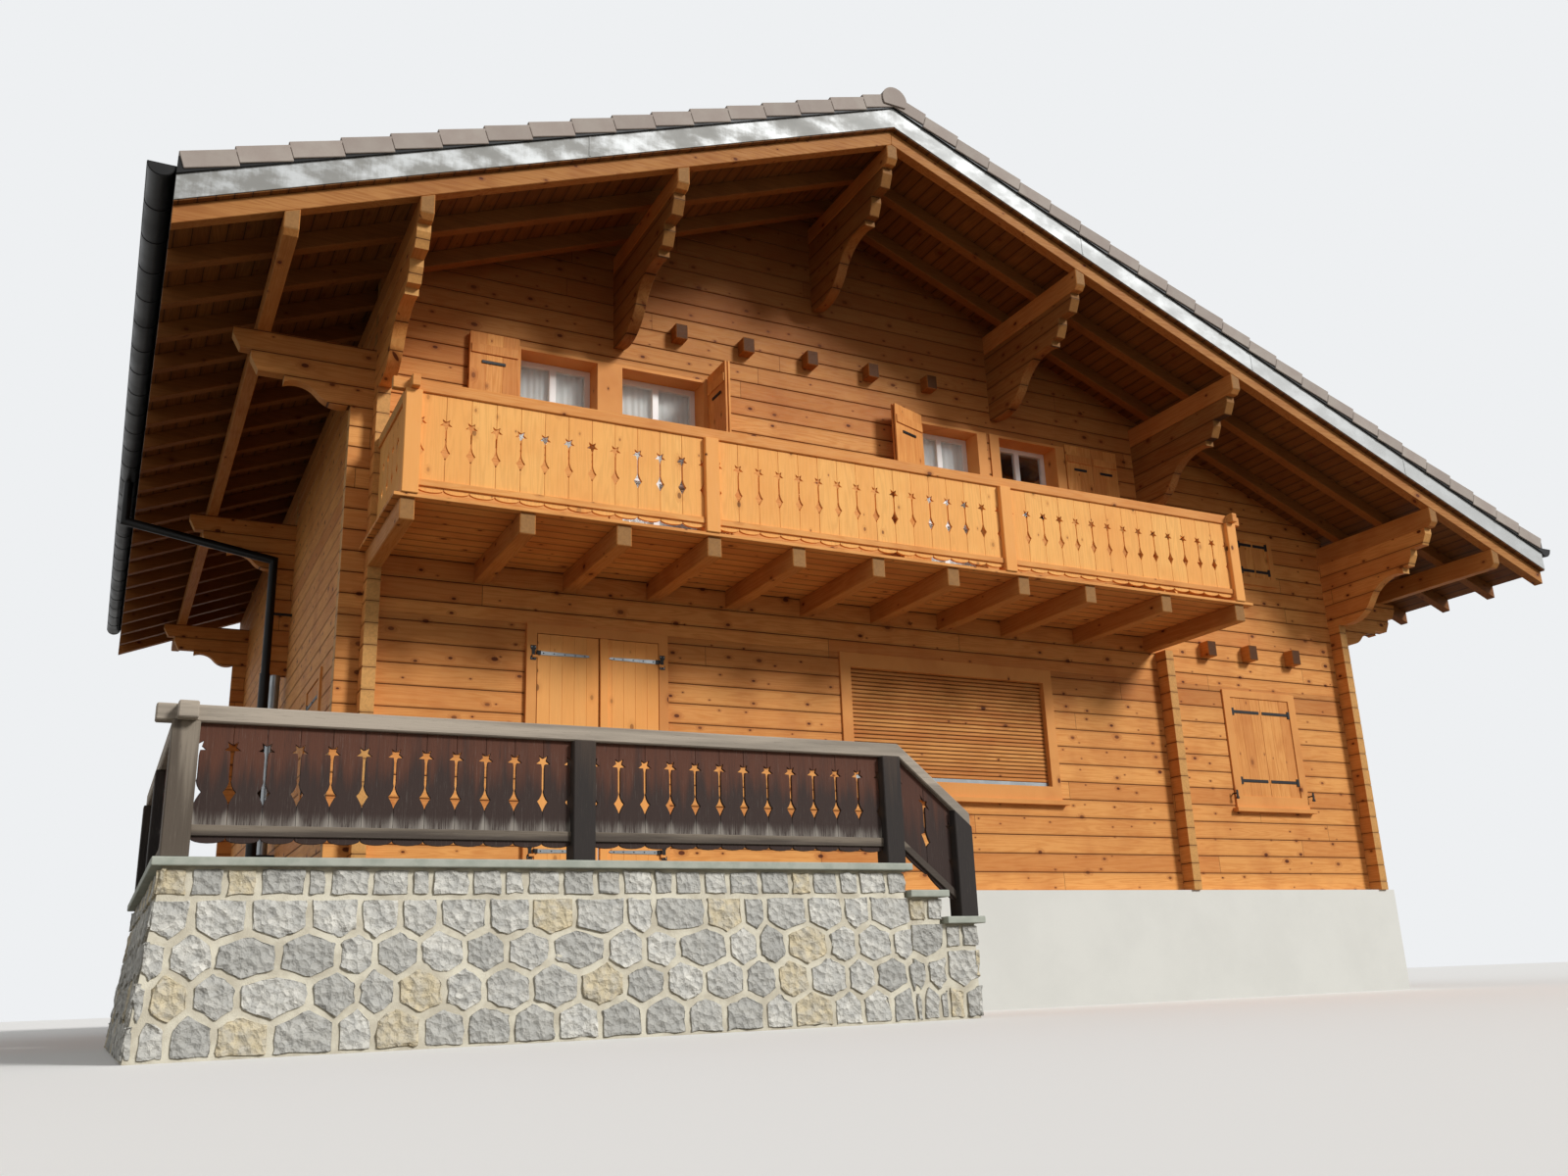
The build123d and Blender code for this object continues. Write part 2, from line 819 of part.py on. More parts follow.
def tile_face(eave, x):
    """Height of the top course of tiles of one slope over a place on X."""
    gauge = abs(ridge_x - eave) / round(abs(ridge_x - eave) / tile_gauge)
    fall = slope * gauge - tile_lip
    return ridge_top - fall * abs(x - ridge_x) / gauge


def ridge_disc(radius):
    """Outline of the ridge caps, down to the tiles at both sides."""
    with BuildSketch() as disc:
        with Locations((ridge_x, ridge_cap_centre)):
            Circle(radius)
        low = ridge_top - ridge_cap_radius
        with BuildLine():
            Polyline(
                (ridge_x - ridge_cap_radius, tile_face(eave_left, ridge_x - ridge_cap_radius)),
                (ridge_x, ridge_top),
                (ridge_x + ridge_cap_radius, tile_face(eave_right, ridge_x + ridge_cap_radius)),
                (ridge_x + ridge_cap_radius, low - ridge_cap_radius),
                (ridge_x - ridge_cap_radius, low - ridge_cap_radius),
                close=True,
            )
        make_face(mode=Mode.SUBTRACT)
    return disc.sketch


ridge_cap_centre = ridge_top + ridge_cap_rise - ridge_cap_radius
with BuildPart() as ridge_tiles:
    with BuildSketch(Plane.XZ.offset(-tiles_front)):
        add(ridge_disc(ridge_cap_radius))
        add(ridge_disc(ridge_cap_radius - ridge_cap_wall), mode=Mode.SUBTRACT)
    extrude(amount=tiles_front - tiles_back)
    for front in (tiles_front - ridge_cap_wall, tiles_back):
        with BuildSketch(Plane.XZ.offset(-front)):
            with Locations((ridge_x, ridge_cap_centre)):
                Circle(ridge_cap_radius)
            with Locations((ridge_x, ridge_top + ridge_cap_rise - ridge_plate_height)):
                size = 2 * ridge_cap_radius
                Rectangle(size, size, align=(Align.CENTER, Align.MAX), mode=Mode.SUBTRACT)
        extrude(amount=-ridge_cap_wall)
keep(ridge_tiles, "ridge_tiles")


def flashing_prism(start, end):
    """Bent zinc sheet along both slopes of one verge."""
    eaves = (eave_left, ridge_x, eave_right)
    low_edge = [(x, board_underside(x) + flashing_foot) for x in eaves]
    high_edge = [(x, z + flashing_height) for x, z in reversed(low_edge)]
    return prism_along_y(low_edge + high_edge, start, end)


with BuildPart() as verge_flashing:
    add(flashing_prism(verge_front - flashing, verge_front))
    add(flashing_prism(verge_back, verge_back + flashing))
keep(verge_flashing, "verge_flashing")

# Half-round gutters along the eaves
gutter_rim_left = covering_underside(eave_left) + gutter_rise
gutter_rim_right = covering_underside(eave_right) + gutter_rise
gutter_left_x = eave_left - gutter_radius
gutter_right_x = eave_right + gutter_radius


def half_round(x, rim, radius):
    """Lower half of a disc, its flat side up."""
    with BuildSketch() as section:
        with BuildLine():
            ThreePointArc((x - radius, rim), (x, rim - radius), (x + radius, rim))
            Line((x + radius, rim), (x - radius, rim))
        make_face()
    return section.sketch


def gutter(x, rim):
    """Half-round gutter with closed ends, its middle line at one X."""
    with BuildPart() as channel:
        with BuildSketch(Plane.XZ.offset(-verge_front)):
            add(half_round(x, rim, gutter_radius))
        extrude(amount=verge_front - verge_back)
        with BuildSketch(Plane.XZ.offset(-verge_front - gutter_wall)):
            add(half_round(x, rim, gutter_radius - gutter_wall))
        extrude(amount=verge_front - verge_back + 2 * gutter_wall, mode=Mode.SUBTRACT)
    return channel.part


with BuildPart() as gutter_left:
    add(gutter(gutter_left_x, gutter_rim_left))
keep(gutter_left, "gutter_left")

with BuildPart() as gutter_right:
    add(gutter(gutter_right_x, gutter_rim_right))
keep(gutter_right, "gutter_right")


def downpipe(gutter_x, rim, wall, outward):
    """Round pipe from a gutter back to its wall and down, with a stouter standpipe at the foot."""
    top = rim - gutter_radius
    pipe_x = wall + outward * pipe_stand
    bend = top - pipe_drop
    route = [
        (gutter_x, pipe_y, top),
        (gutter_x, pipe_y, bend),
        (pipe_x, pipe_y, bend - pipe_fall),
        (pipe_x, pipe_y, 0),
    ]
    with BuildPart() as pipe:
        with BuildLine():
            Polyline(*route)
        with BuildSketch(Plane((gutter_x, pipe_y, top), x_dir=(1, 0, 0), z_dir=(0, 0, -1))):
            RegularPolygon(pipe_radius, pipe_sides)
        sweep(transition=Transition.RIGHT)
        with BuildSketch():
            with Locations((pipe_x, pipe_y)):
                RegularPolygon(standpipe_radius, pipe_sides)
        extrude(amount=sill + standpipe_rise)
        for rise in clip_rises:
            low = (min(wall, pipe_x), pipe_y - clip / 2, sill + rise)
            add(box_between(low, (max(wall, pipe_x), pipe_y + clip / 2, sill + rise + clip)))
    return pipe.part


with BuildPart() as downpipes:
    add(downpipe(gutter_left_x, gutter_rim_left, 0, -1))
    add(downpipe(gutter_right_x, gutter_rim_right, house_width, 1))
keep(downpipes, "downpipes")

# Windows: linings and boards, frames, glass and curtains
glazed = {
    "front": [window_a, door_b, door_c, window_d],
    "back": back_windows,
}
shuttered = {
    "front": [small_window, right_window],
    "left": left_windows,
    "right": side_windows,
}
frame_back = lining_depth
frame_front = lining_depth - frame_depth


def ring(face, opening, margins, front, back):
    """Squared surround in an opening: margins at the sides, the head and the foot."""
    left, right, low, high = opening
    side, head, foot = margins
    with BuildPart() as surround:
        add(wall_box(face, (left, front, low), (right, back, high)))
        inside = wall_box(face, (left + side, front, low + foot), (right - side, back, high - head))
        add(inside, mode=Mode.SUBTRACT)
    return surround.part


def inset(opening, side, head, foot):
    """An opening made smaller at its sides, its head and its foot."""
    left, right, low, high = opening
    return (left + side, right - side, low + foot, high - head)


def side_boards(face, opening):
    """Flat boards that stand on the wall at both sides of a window."""
    left, right, low, high = opening
    return [
        wall_box(face, (left - window_board_width, -window_board, low), (left, 0, high)),
        wall_box(face, (right, -window_board, low), (right + window_board_width, 0, high)),
    ]


shutter_margins = {small_window: small_surround, right_window: upper_surround}
roller_margins = (roller_side, roller_head, roller_foot)
with BuildPart() as window_casings:
    for face, openings in glazed.items():
        for opening in openings:
            add(ring(face, opening, (lining, lining, lining), -window_board, lining_depth))
            add(side_boards(face, opening))
    for face, openings in shuttered.items():
        for opening in openings:
            margins = shutter_margins.get(opening, shutter_surround)
            add(ring(face, opening, margins, -shutter_frame_stand, timber))
    add(ring("front", roller_window, roller_margins, -shutter_frame_stand, timber))
    for opening in front_lower_windows:
        left, right, low, high = opening
        corner = (left - window_sill_lap, -window_sill_reach, low - window_sill_height)
        add(wall_box("front", corner, (right + window_sill_lap, 0, low)))
keep(window_casings, "window_casings")

with BuildPart() as window_frames:
    for face, openings in glazed.items():
        for opening in openings:
            inside = inset(opening, lining, lining, lining)
            add(ring(face, inside, (frame_width, frame_width, frame_width), frame_front, frame_back))
            middle = (opening[0] + opening[1]) / 2
            low = (middle - mullion_width / 2, frame_front, inside[2] + frame_width)
            add(wall_box(face, low, (middle + mullion_width / 2, frame_back, inside[3] - frame_width)))
keep(window_frames, "window_frames")

with BuildPart() as window_glass:
    for face, openings in glazed.items():
        for opening in openings:
            left, right, low, high = inset(opening, *(lining + frame_width,) * 3)
            middle = (left + right) / 2
            front = frame_front + (frame_depth - glass) / 2
            for a, b in ((left, middle - mullion_width / 2), (middle + mullion_width / 2, right)):
                add(wall_box(face, (a, front, low), (b, front + glass, high)))
keep(window_glass, "window_glass")

with BuildPart() as curtains:
    for left, right, low, high in (window_a, door_b, door_c):
        corner = (left + lining - curtain_lap, frame_back, low + lining)
        add(wall_box("front", corner, (right - lining + curtain_lap, frame_back + curtain, high)))
keep(curtains, "curtains")

# Shutters: closed pairs in their surrounds, and the pairs that stand open beside the upper windows
open_shutter_head_rise = 4717.0
sill_lap = 20.0
deck_clearance = 15.0
open_shutter_foot_rise = upper_sill_rise - sill_lap
door_shutter_foot_rise = deck_rise + deck_clearance
pair_thickness = 2 * shutter_thickness
flat_pair_a = (757.0, 1190.0)
flat_pair_d = (7216.0, 7920.0)
standing_pair_length = 388.0
swung_pair_length = 440.0
swung_pair_angle = 20.0
swung_pair_x = 5335.0


def closed_pair(face, opening):
    """Two leaves that fill a surround, a little behind its face."""
    left, right, low, high = inset(opening, *shutter_margins.get(opening, shutter_surround))
    middle = (left + right) / 2
    back = shutter_inset - shutter_frame_stand + shutter_thickness
    return [
        wall_box(face, (a, back - shutter_thickness, low), (b, back, high))
        for a, b in ((left, middle - shutter_gap / 2), (middle + shutter_gap / 2, right))
    ]


with BuildPart() as shutters:
    for face, openings in shuttered.items():
        for opening in openings:
            add(closed_pair(face, opening))
    low = (flat_pair_a[0], -window_board - pair_thickness, open_shutter_foot_rise)
    add(wall_box("front", low, (flat_pair_a[1], -window_board, open_shutter_head_rise)))
    middle = sum(flat_pair_d) / 2
    for a, b in ((flat_pair_d[0], middle - shutter_gap / 2), (middle + shutter_gap / 2, flat_pair_d[1])):
        low = (a, -shutter_thickness, open_shutter_foot_rise)
        add(wall_box("front", low, (b, 0, open_shutter_head_rise)))
    standing_left = door_b[1] + shutter_gap
    low = (standing_left, -window_board - standing_pair_length, door_shutter_foot_rise)
    add(wall_box("front", low, (standing_left + pair_thickness, -window_board, open_shutter_head_rise)))
    with BuildSketch(Plane.XY.offset(sill + door_shutter_foot_rise)):
        turn = radians(swung_pair_angle)
        along = (-cos(turn), -sin(turn))
        outward = (sin(turn), -cos(turn))
        hinge = (swung_pair_x, -window_board)
        far = tuple(h + swung_pair_length * a for h, a in zip(hinge, along))
        corners = [hinge, far]
        corners += [tuple(c + pair_thickness * o for c, o in zip(corner, outward)) for corner in (far, hinge)]
        with BuildLine():
            Polyline(*corners, close=True)
        make_face()
    extrude(amount=open_shutter_head_rise - door_shutter_foot_rise)
keep(shutters, "shutters")

# Roller shutter of the wide ground floor window: slats over a bottom bar
with BuildPart() as roller_shutter:
    left, right, low, high = inset(roller_window, *roller_margins)
    slat_foot = sill + low + bottom_bar_height
    slat_count = round((high - low - bottom_bar_height) / slat)
    slat_pitch = (high - low - bottom_bar_height) / slat_count
    front = [(roller_recess, slat_foot)]
    for index in range(1, slat_count):
        joint = slat_foot + slat_pitch * index
        front += [
            (roller_recess, joint - slat_groove),
            (roller_recess + slat_groove, joint),
            (roller_recess, joint + slat_groove),
        ]
    back = roller_recess + roller_thickness
    outline = front + [(roller_recess, sill + high), (back, sill + high), (back, slat_foot)]
    add(prism_along_x(outline, left, right))
    bar_low = (left, roller_recess - (bottom_bar - roller_thickness) / 2, low)
    bar_high = (right, roller_recess + (bottom_bar + roller_thickness) / 2, low + bottom_bar_height)
    add(wall_box("front", bar_low, bar_high))
keep(roller_shutter, "roller_shutter")

# Balcony
balcony_floor = joist_top + board
balcony_right = cross_wall_x + balcony_right_lap
rail_top = balcony_floor + railing_rise
rail_low = rail_top - rail_height
post_y = -balcony_reach + post_inset - post / 2
post_back = post_y + post / 2
balcony_post_places = [post / 2, *balcony_mid_posts, outer_joist_x]
with BuildPart() as balcony_deck:
    low = (-deck_left_reach, -balcony_reach - deck_nose, joist_top)
    add(box_between(low, (balcony_right, 0, balcony_floor)))
keep(balcony_deck, "balcony_deck")

with BuildPart() as balcony_posts:
    for x in balcony_post_places:
        low = (x - post / 2, post_y - post / 2, balcony_floor)
        add(box_between(low, (x + post / 2, post_back, rail_low)))
keep(balcony_posts, "balcony_posts")


def panel_along_x(left, right, y, low_rail, low_rail_top, top):
    """Upright planks with their bottom rail in front, between two posts along X."""
    half = plank_thickness / 2
    return [
        box_between((left, y - half, low_rail - plank_drop), (right, y + half, top)),
        box_between((left, y - rail_depth / 2, low_rail), (right, y - half, low_rail_top)),
    ]


def panel_along_y(x, front, back, outward, levels):
    """The same along Y, with the bottom rail on the outward side."""
    half = plank_thickness / 2
    low_rail, low_rail_top, top = levels
    rail = sorted((x + outward * half, x + outward * rail_depth / 2))
    return [
        box_between((x - half, front, low_rail - plank_drop), (x + half, back, top)),
        box_between((rail[0], front, low_rail), (rail[1], back, low_rail_top)),
    ]


balcony_low_rail = balcony_floor + low_rail_rise
balcony_levels = (balcony_low_rail, balcony_low_rail + low_rail_height, rail_low)
for index in range(3):
    with BuildPart() as balcony_panel:
        left = balcony_post_places[index] + post / 2
        right = balcony_post_places[index + 1] - post / 2
        add(panel_along_x(left, right, post_y, *balcony_levels))
    keep(balcony_panel, f"balcony_panel_{index + 1}")

with BuildPart() as balcony_panel_left:
    add(panel_along_y(balcony_post_places[0], post_back, log_end_front, -1, balcony_levels))
keep(balcony_panel_left, "balcony_panel_left")

with BuildPart() as balcony_panel_right:
    add(panel_along_y(balcony_post_places[-1], post_back, 0, 1, balcony_levels))
keep(balcony_panel_right, "balcony_panel_right")

with BuildPart() as balcony_rails:
    low = (-rail_end, post_y - rail_depth / 2, rail_low)
    high = (balcony_post_places[-1] + post / 2 + rail_end, post_y + rail_depth / 2, rail_top)
    add(box_between(low, high))
    for x, back in ((balcony_post_places[0], log_end_front), (balcony_post_places[-1], 0)):
        low = (x - rail_depth / 2, post_y - rail_depth / 2 - rail_end, rail_low)
        add(box_between(low, (x + rail_depth / 2, back, rail_top)))
keep(balcony_rails, "balcony_rails")

# Ground floor door: casing, two leaves and their pins
casing_front = -casing_stand
opening_left = door_left + casing
opening_right = door_right - casing
opening_head = door_head - casing
leaf_bottom = floor_level + leaf_rise
leaf_top = opening_head - leaf_gap
leaf_split = (opening_left + opening_right) / 2
pin_y = casing_front - pin_stand
hinge_levels = [leaf_bottom + low_hinge_rise, leaf_top - high_hinge_drop]
with BuildPart() as door_casing:
    add(box_between((door_left, casing_front, sill), (door_right, timber, door_head)))
    low = (opening_left, casing_front, floor_level)
    add(box_between(low, (opening_right, timber, opening_head)), mode=Mode.SUBTRACT)
    for edge, toward in ((opening_left, 1), (opening_right, -1)):
        for level in hinge_levels:
            lug_top = level - lug_clearance
            ends = sorted((edge + toward * pin_radius, edge - toward * lug_reach))
            low = (ends[0], pin_y - pin_radius, lug_top - lug_height)
            add(box_between(low, (ends[1], casing_front, lug_top)))
            with BuildSketch(Plane.XY.offset(lug_top)):
                with Locations((edge, pin_y)):
                    RegularPolygon(pin_radius, pin_sides)
            extrude(amount=lug_clearance + strap_height + pin_head)
keep(door_casing, "door_casing")


def leaf_parts(edge, toward):
    """A leaf of vertical boards with two straps, each ending in a knuckle round its pin."""
    hinge_edge = edge + toward * leaf_gap
    free_edge = leaf_split - toward * meeting_gap / 2
    strap_ends = sorted((hinge_edge, edge + toward * strap_length))
    tang_ends = sorted((edge, edge + toward * tang_length))
    leaf_ends = sorted((hinge_edge, free_edge))
    with BuildPart() as leaf:
        low = (leaf_ends[0], casing_front, leaf_bottom)
        add(box_between(low, (leaf_ends[1], casing_front + leaf_thickness, leaf_top)))
        for level in hinge_levels:
            low = (strap_ends[0], casing_front - strap_thickness, level)
            add(box_between(low, (strap_ends[1], casing_front, level + strap_height)))
            low = (tang_ends[0], pin_y, level)
            add(box_between(low, (tang_ends[1], casing_front, level + strap_height)))
            with BuildSketch(Plane.XY.offset(level)):
                with Locations((edge, pin_y)):
                    RegularPolygon(knuckle_radius, knuckle_sides)
            extrude(amount=strap_height)
            with BuildSketch(Plane.XY.offset(level)):
                with Locations((edge, pin_y)):
                    RegularPolygon(pin_radius + pin_clearance, pin_sides, major_radius=False)
            extrude(amount=strap_height, mode=Mode.SUBTRACT)
    return leaf.part


with BuildPart() as door_leaf_left:
    add(leaf_parts(opening_left, 1))
keep(door_leaf_left, "door_leaf_left")

with BuildPart() as door_leaf_right:
    add(leaf_parts(opening_right, -1))
    strip_left = leaf_split + meeting_gap / 2
    low = (strip_left, casing_front - cover_strip, leaf_bottom)
    add(box_between(low, (strip_left + cover_strip_width, casing_front, leaf_top)))
keep(door_leaf_right, "door_leaf_right")

# Terrace of battered rubble masonry, with its paving and two treads down to the right
terrace_front = -terrace_reach
masonry_top = floor_level - slab
stair_back = terrace_front + stair_width
with BuildPart() as terrace_masonry:
    front_profile = [
        (-plinth_reach, 0),
        (terrace_front - batter, 0),
        (terrace_front, masonry_top),
        (-plinth_reach, masonry_top),
    ]
    add(prism_along_x(front_profile, terrace_left - batter, terrace_right))
    side_profile = [
        (terrace_left - batter, 0),
        (terrace_right, 0),
        (terrace_right, masonry_top),
        (terrace_left, masonry_top),
    ]
    add(prism_along_y(side_profile, terrace_front - batter, -plinth_reach), mode=Mode.INTERSECT)
    return_profile = [side_profile[0], (-plinth_reach, 0), (-plinth_reach, masonry_top), side_profile[3]]
    add(prism_along_y(return_profile, -plinth_reach, terrace_back))
    for index in range(tread_count):
        block_left = terrace_right + tread_going * index
        block_top = floor_level - tread_rise * (index + 1) - slab
        add(box_between((block_left, terrace_front, 0), (block_left + tread_going, stair_back, block_top)))
keep(terrace_masonry, "terrace_masonry")

with BuildPart() as terrace_steps:
    for index in range(tread_count):
        tread_left = terrace_right + tread_going * index
        tread_top = floor_level - tread_rise * (index + 1)
        low = (tread_left, terrace_front - slab_nose, tread_top - slab)
        add(box_between(low, (tread_left + tread_going + slab_nose, stair_back, tread_top)))
keep(terrace_steps, "terrace_steps")

with BuildPart() as terrace_paving:
    low = (terrace_left - slab_nose, terrace_front - slab_nose, masonry_top)
    add(box_between(low, (terrace_right + slab_nose, -plinth_reach, floor_level)))
    low = (terrace_left - slab_nose, -plinth_reach, masonry_top)
    add(box_between(low, (-plinth_reach, terrace_back, floor_level)))
    corner_log_ends = [
        box_between((-side_reach, 0, sill), (0, timber, floor_level)),
        box_between((0, log_end_front, sill), (timber, 0, floor_level)),
    ]
    under_casing = box_between((door_left, casing_front, sill), (door_right, 0, floor_level))
    add(corner_log_ends + [under_casing], mode=Mode.SUBTRACT)
keep(terrace_paving, "terrace_paving")

# Terrace railing
railing_y = terrace_front + terrace_post_inset
railing_x = terrace_left + terrace_post_inset
half_post = terrace_post / 2
right_post_x = terrace_right - half_post
back_post_y = terrace_back - half_post
terrace_rail_top = floor_level + terrace_rail_rise
terrace_rail_low = terrace_rail_top - terrace_rail_height
terrace_low_rail = floor_level + terrace_low_rail_rise
front_post_places = [railing_x, terrace_mid_post_x, right_post_x]
side_post_places = [railing_y, side_mid_post_y, back_post_y]
stair_post_x = terrace_right + tread_going * tread_count - half_post
last_tread = floor_level - tread_rise * tread_count


def stair_line(level, x):
    """Height of a line that falls with the stair from a level at the right-hand terrace post."""
    return level - stair_rail_slope * (x - right_post_x - half_post)


with BuildPart() as terrace_posts:
    places = [(x, railing_y) for x in front_post_places] + [(railing_x, y) for y in side_post_places[1:]]
    for x, y in places:
        low = (x - half_post, y - half_post, floor_level)
        add(box_between(low, (x + half_post, y + half_post, terrace_rail_low)))
    left, right = stair_post_x - half_post, stair_post_x + half_post
    section = [
        (left, last_tread),
        (right, last_tread),
        (right, stair_line(terrace_rail_low, right)),
        (left, stair_line(terrace_rail_low, left)),
    ]
    add(prism_along_y(section, railing_y - half_post, railing_y + half_post))
keep(terrace_posts, "terrace_posts")

terrace_levels = (terrace_low_rail, terrace_low_rail + terrace_low_rail_height, terrace_rail_low)
for index in range(2):
    with BuildPart() as terrace_panel:
        left = front_post_places[index] + half_post
        right = front_post_places[index + 1] - half_post
        add(panel_along_x(left, right, railing_y, *terrace_levels))
    keep(terrace_panel, f"terrace_panel_{index + 1}")

with BuildPart() as terrace_panel_side:
    for front, back in zip(side_post_places, side_post_places[1:]):
        add(panel_along_y(railing_x, front + half_post, back - half_post, -1, terrace_levels))
keep(terrace_panel_side, "terrace_panel_side")


def falling_piece(left, right, low, high, front, back):
    """A piece between two lines that fall with the stair."""
    section = [
        (left, stair_line(low, left)),
        (right, stair_line(low, right)),
        (right, stair_line(high, right)),
        (left, stair_line(high, left)),
    ]
    return prism_along_y(section, front, back)


stair_panel_left = right_post_x + half_post
stair_panel_right = stair_post_x - half_post
with BuildPart() as terrace_panel_stair:
    half = plank_thickness / 2
    planks_low = terrace_low_rail - stair_plank_drop
    ends = (stair_panel_left, stair_panel_right)
    add(falling_piece(*ends, planks_low, terrace_rail_low, railing_y - half, railing_y + half))
    rail_front = railing_y - rail_depth / 2
    add(falling_piece(*ends, terrace_low_rail, terrace_levels[1], rail_front, railing_y - half))
keep(terrace_panel_stair, "terrace_panel_stair")

with BuildPart() as terrace_rails:
    half_rail = terrace_rail_depth / 2
    left = railing_x - half_post - terrace_rail_end
    low = (left, railing_y - half_rail, terrace_rail_low)
    add(box_between(low, (stair_panel_left, railing_y + half_rail, terrace_rail_top)))
    front = railing_y - half_post - terrace_rail_end
    low = (railing_x - half_rail, front, terrace_rail_low)
    add(box_between(low, (railing_x + half_rail, terrace_back, terrace_rail_top)))
    ends = (stair_panel_left, stair_post_x + half_post)
    sides = (railing_y - half_rail, railing_y + half_rail)
    add(falling_piece(*ends, terrace_rail_low, terrace_rail_top, *sides))
keep(terrace_rails, "terrace_rails")
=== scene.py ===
"""Looks of the alpine log chalet: finishes, roof tiles, fretwork, stonework, shutters and curtains."""

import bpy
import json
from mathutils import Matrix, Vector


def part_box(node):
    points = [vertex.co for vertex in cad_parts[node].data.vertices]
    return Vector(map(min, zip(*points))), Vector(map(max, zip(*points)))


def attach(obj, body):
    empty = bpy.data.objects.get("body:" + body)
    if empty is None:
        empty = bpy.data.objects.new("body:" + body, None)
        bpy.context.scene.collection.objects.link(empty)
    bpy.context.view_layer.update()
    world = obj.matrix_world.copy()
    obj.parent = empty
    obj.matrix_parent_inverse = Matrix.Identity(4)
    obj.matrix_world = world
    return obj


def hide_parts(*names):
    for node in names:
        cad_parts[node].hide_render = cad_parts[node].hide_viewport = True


bl_info = {
    "name": "Alpine Chalet Looks",
    "version": (1, 0, 0),
    "blender": (4, 5, 0),
    "location": "View3D > Sidebar > Chalet",
    "description": "Models the outer detail and the finishes of an alpine log chalet",
    "category": "Object",
}

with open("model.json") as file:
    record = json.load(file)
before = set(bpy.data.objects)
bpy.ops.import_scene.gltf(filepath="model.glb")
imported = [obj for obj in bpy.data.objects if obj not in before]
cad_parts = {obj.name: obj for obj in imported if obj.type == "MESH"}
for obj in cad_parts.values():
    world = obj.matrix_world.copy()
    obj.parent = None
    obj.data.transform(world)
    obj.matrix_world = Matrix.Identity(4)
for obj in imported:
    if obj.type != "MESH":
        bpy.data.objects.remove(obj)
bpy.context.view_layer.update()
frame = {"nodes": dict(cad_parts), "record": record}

import json
import random
from contextlib import contextmanager
from functools import partial
from math import atan, cos, pi, radians, sin, sqrt, tau

import bpy
from bpy.props import FloatProperty, FloatVectorProperty, IntProperty, PointerProperty
from mathutils import Matrix, Vector

SMALL = 0.00005
ALONG_Y = (pi / 2, 0, 0)


# Colours and nodes
def linear(hex_colour):
    """Turns an sRGB hex colour to the linear values that Blender's sockets take."""
    parts = [int(hex_colour[i:i + 2], 16) / 255 for i in (1, 3, 5)]
    return tuple(p / 12.92 if p <= 0.04045 else ((p + 0.055) / 1.055) ** 2.4 for p in parts) + (1.0,)


def shaded(colour_value, share):
    """A colour made darker or lighter by a factor."""
    parts = linear(colour_value) if isinstance(colour_value, str) else colour_value
    return tuple(min(1.0, c * share) for c in parts[:3]) + (1.0,)


usual_settings = {
    "MapRange": {"interpolation_type": "SMOOTHSTEP"},
    "Mix": {"data_type": "RGBA"},
    "TexWhiteNoise": {"noise_dimensions": "1D"},
    "VectorMath": {"operation": "SCALE"},
}


def add_node(tree, kind, *inputs, **settings):
    """Adds a shader node with its settings, and fills its inputs in their order or by name.

    kind is the name of a node, or of a calculation in capitals. An input takes a number, a colour, a
    socket, or a node for its first output.
    """
    if kind.isupper():
        kind, settings = "Math", {"operation": kind}
    node = tree.nodes.new(f"ShaderNode{kind}")
    by_name = {}
    for name, value in {**usual_settings.get(kind, {}), **settings}.items():
        if hasattr(node, name):
            setattr(node, name, value)
        else:
            by_name[name.replace("_", " ")] = value
    in_use = [socket for socket in node.inputs if socket.enabled]
    filled = [*zip(in_use, inputs), *((node.inputs[name], value) for name, value in by_name.items())]
    for socket, value in filled:
        if isinstance(value, bpy.types.Node):
            value = next(output for output in value.outputs if output.enabled)
        if isinstance(value, bpy.types.NodeSocket):
            tree.links.new(value, socket)
        else:
            socket.default_value = linear(value) if isinstance(value, str) else value
    return node


def new_material(name):
    """An empty procedural material, and the function that adds a node to it."""
    material = bpy.data.materials.new(name)
    material.use_nodes = True
    material.node_tree.nodes.clear()
    return material, partial(add_node, material.node_tree)


def surface(add, base, bump=None, **inputs):
    """Ends a material with its shader; bump is how strong and how deep its relief is, and its height."""
    if bump:
        strength, distance, height = bump
        inputs["Normal"] = add("Bump", Strength=strength, Distance=distance, Height=height)
    add("OutputMaterial", add("BsdfPrincipled", base, **inputs))


# Modelling by hand
def select(*pieces):
    """Selects these pieces alone, the first one active."""
    bpy.ops.object.select_all(action="DESELECT")
    for piece in pieces:
        piece.select_set(True)
    bpy.context.view_layer.objects.active = pieces[0]


def settle(piece):
    """Puts a piece's place, turn and size into its mesh."""
    select(piece)
    bpy.ops.object.transform_apply(location=True, rotation=True, scale=True)
    return piece


@contextmanager
def whole_mesh():
    """Edit mode with all of the active piece's mesh selected."""
    bpy.ops.object.mode_set(mode="EDIT")
    bpy.ops.mesh.select_all(action="SELECT")
    yield
    bpy.ops.object.mode_set(mode="OBJECT")


def primitive(kind, scale=(1, 1, 1), **settings):
    """Adds a primitive with nothing else selected, its place, turn and size put into its mesh."""
    bpy.ops.object.select_all(action="DESELECT")
    getattr(bpy.ops.mesh, f"primitive_{kind}_add")(**settings)
    piece = bpy.context.object
    piece.scale = scale
    return settle(piece)


def add_block(low, high):
    """Adds a squared piece between two corners."""
    low, high = Vector(low), Vector(high)
    return primitive("cube", high - low, size=1, location=(low + high) / 2)


def modify(piece, kind, **settings):
    """Adds a modifier to a piece and applies it."""
    select(piece)
    modifier = piece.modifiers.new(kind.title(), kind)
    for name, value in settings.items():
        setattr(modifier, name, value)
    bpy.ops.object.modifier_apply(modifier=modifier.name)
    return piece


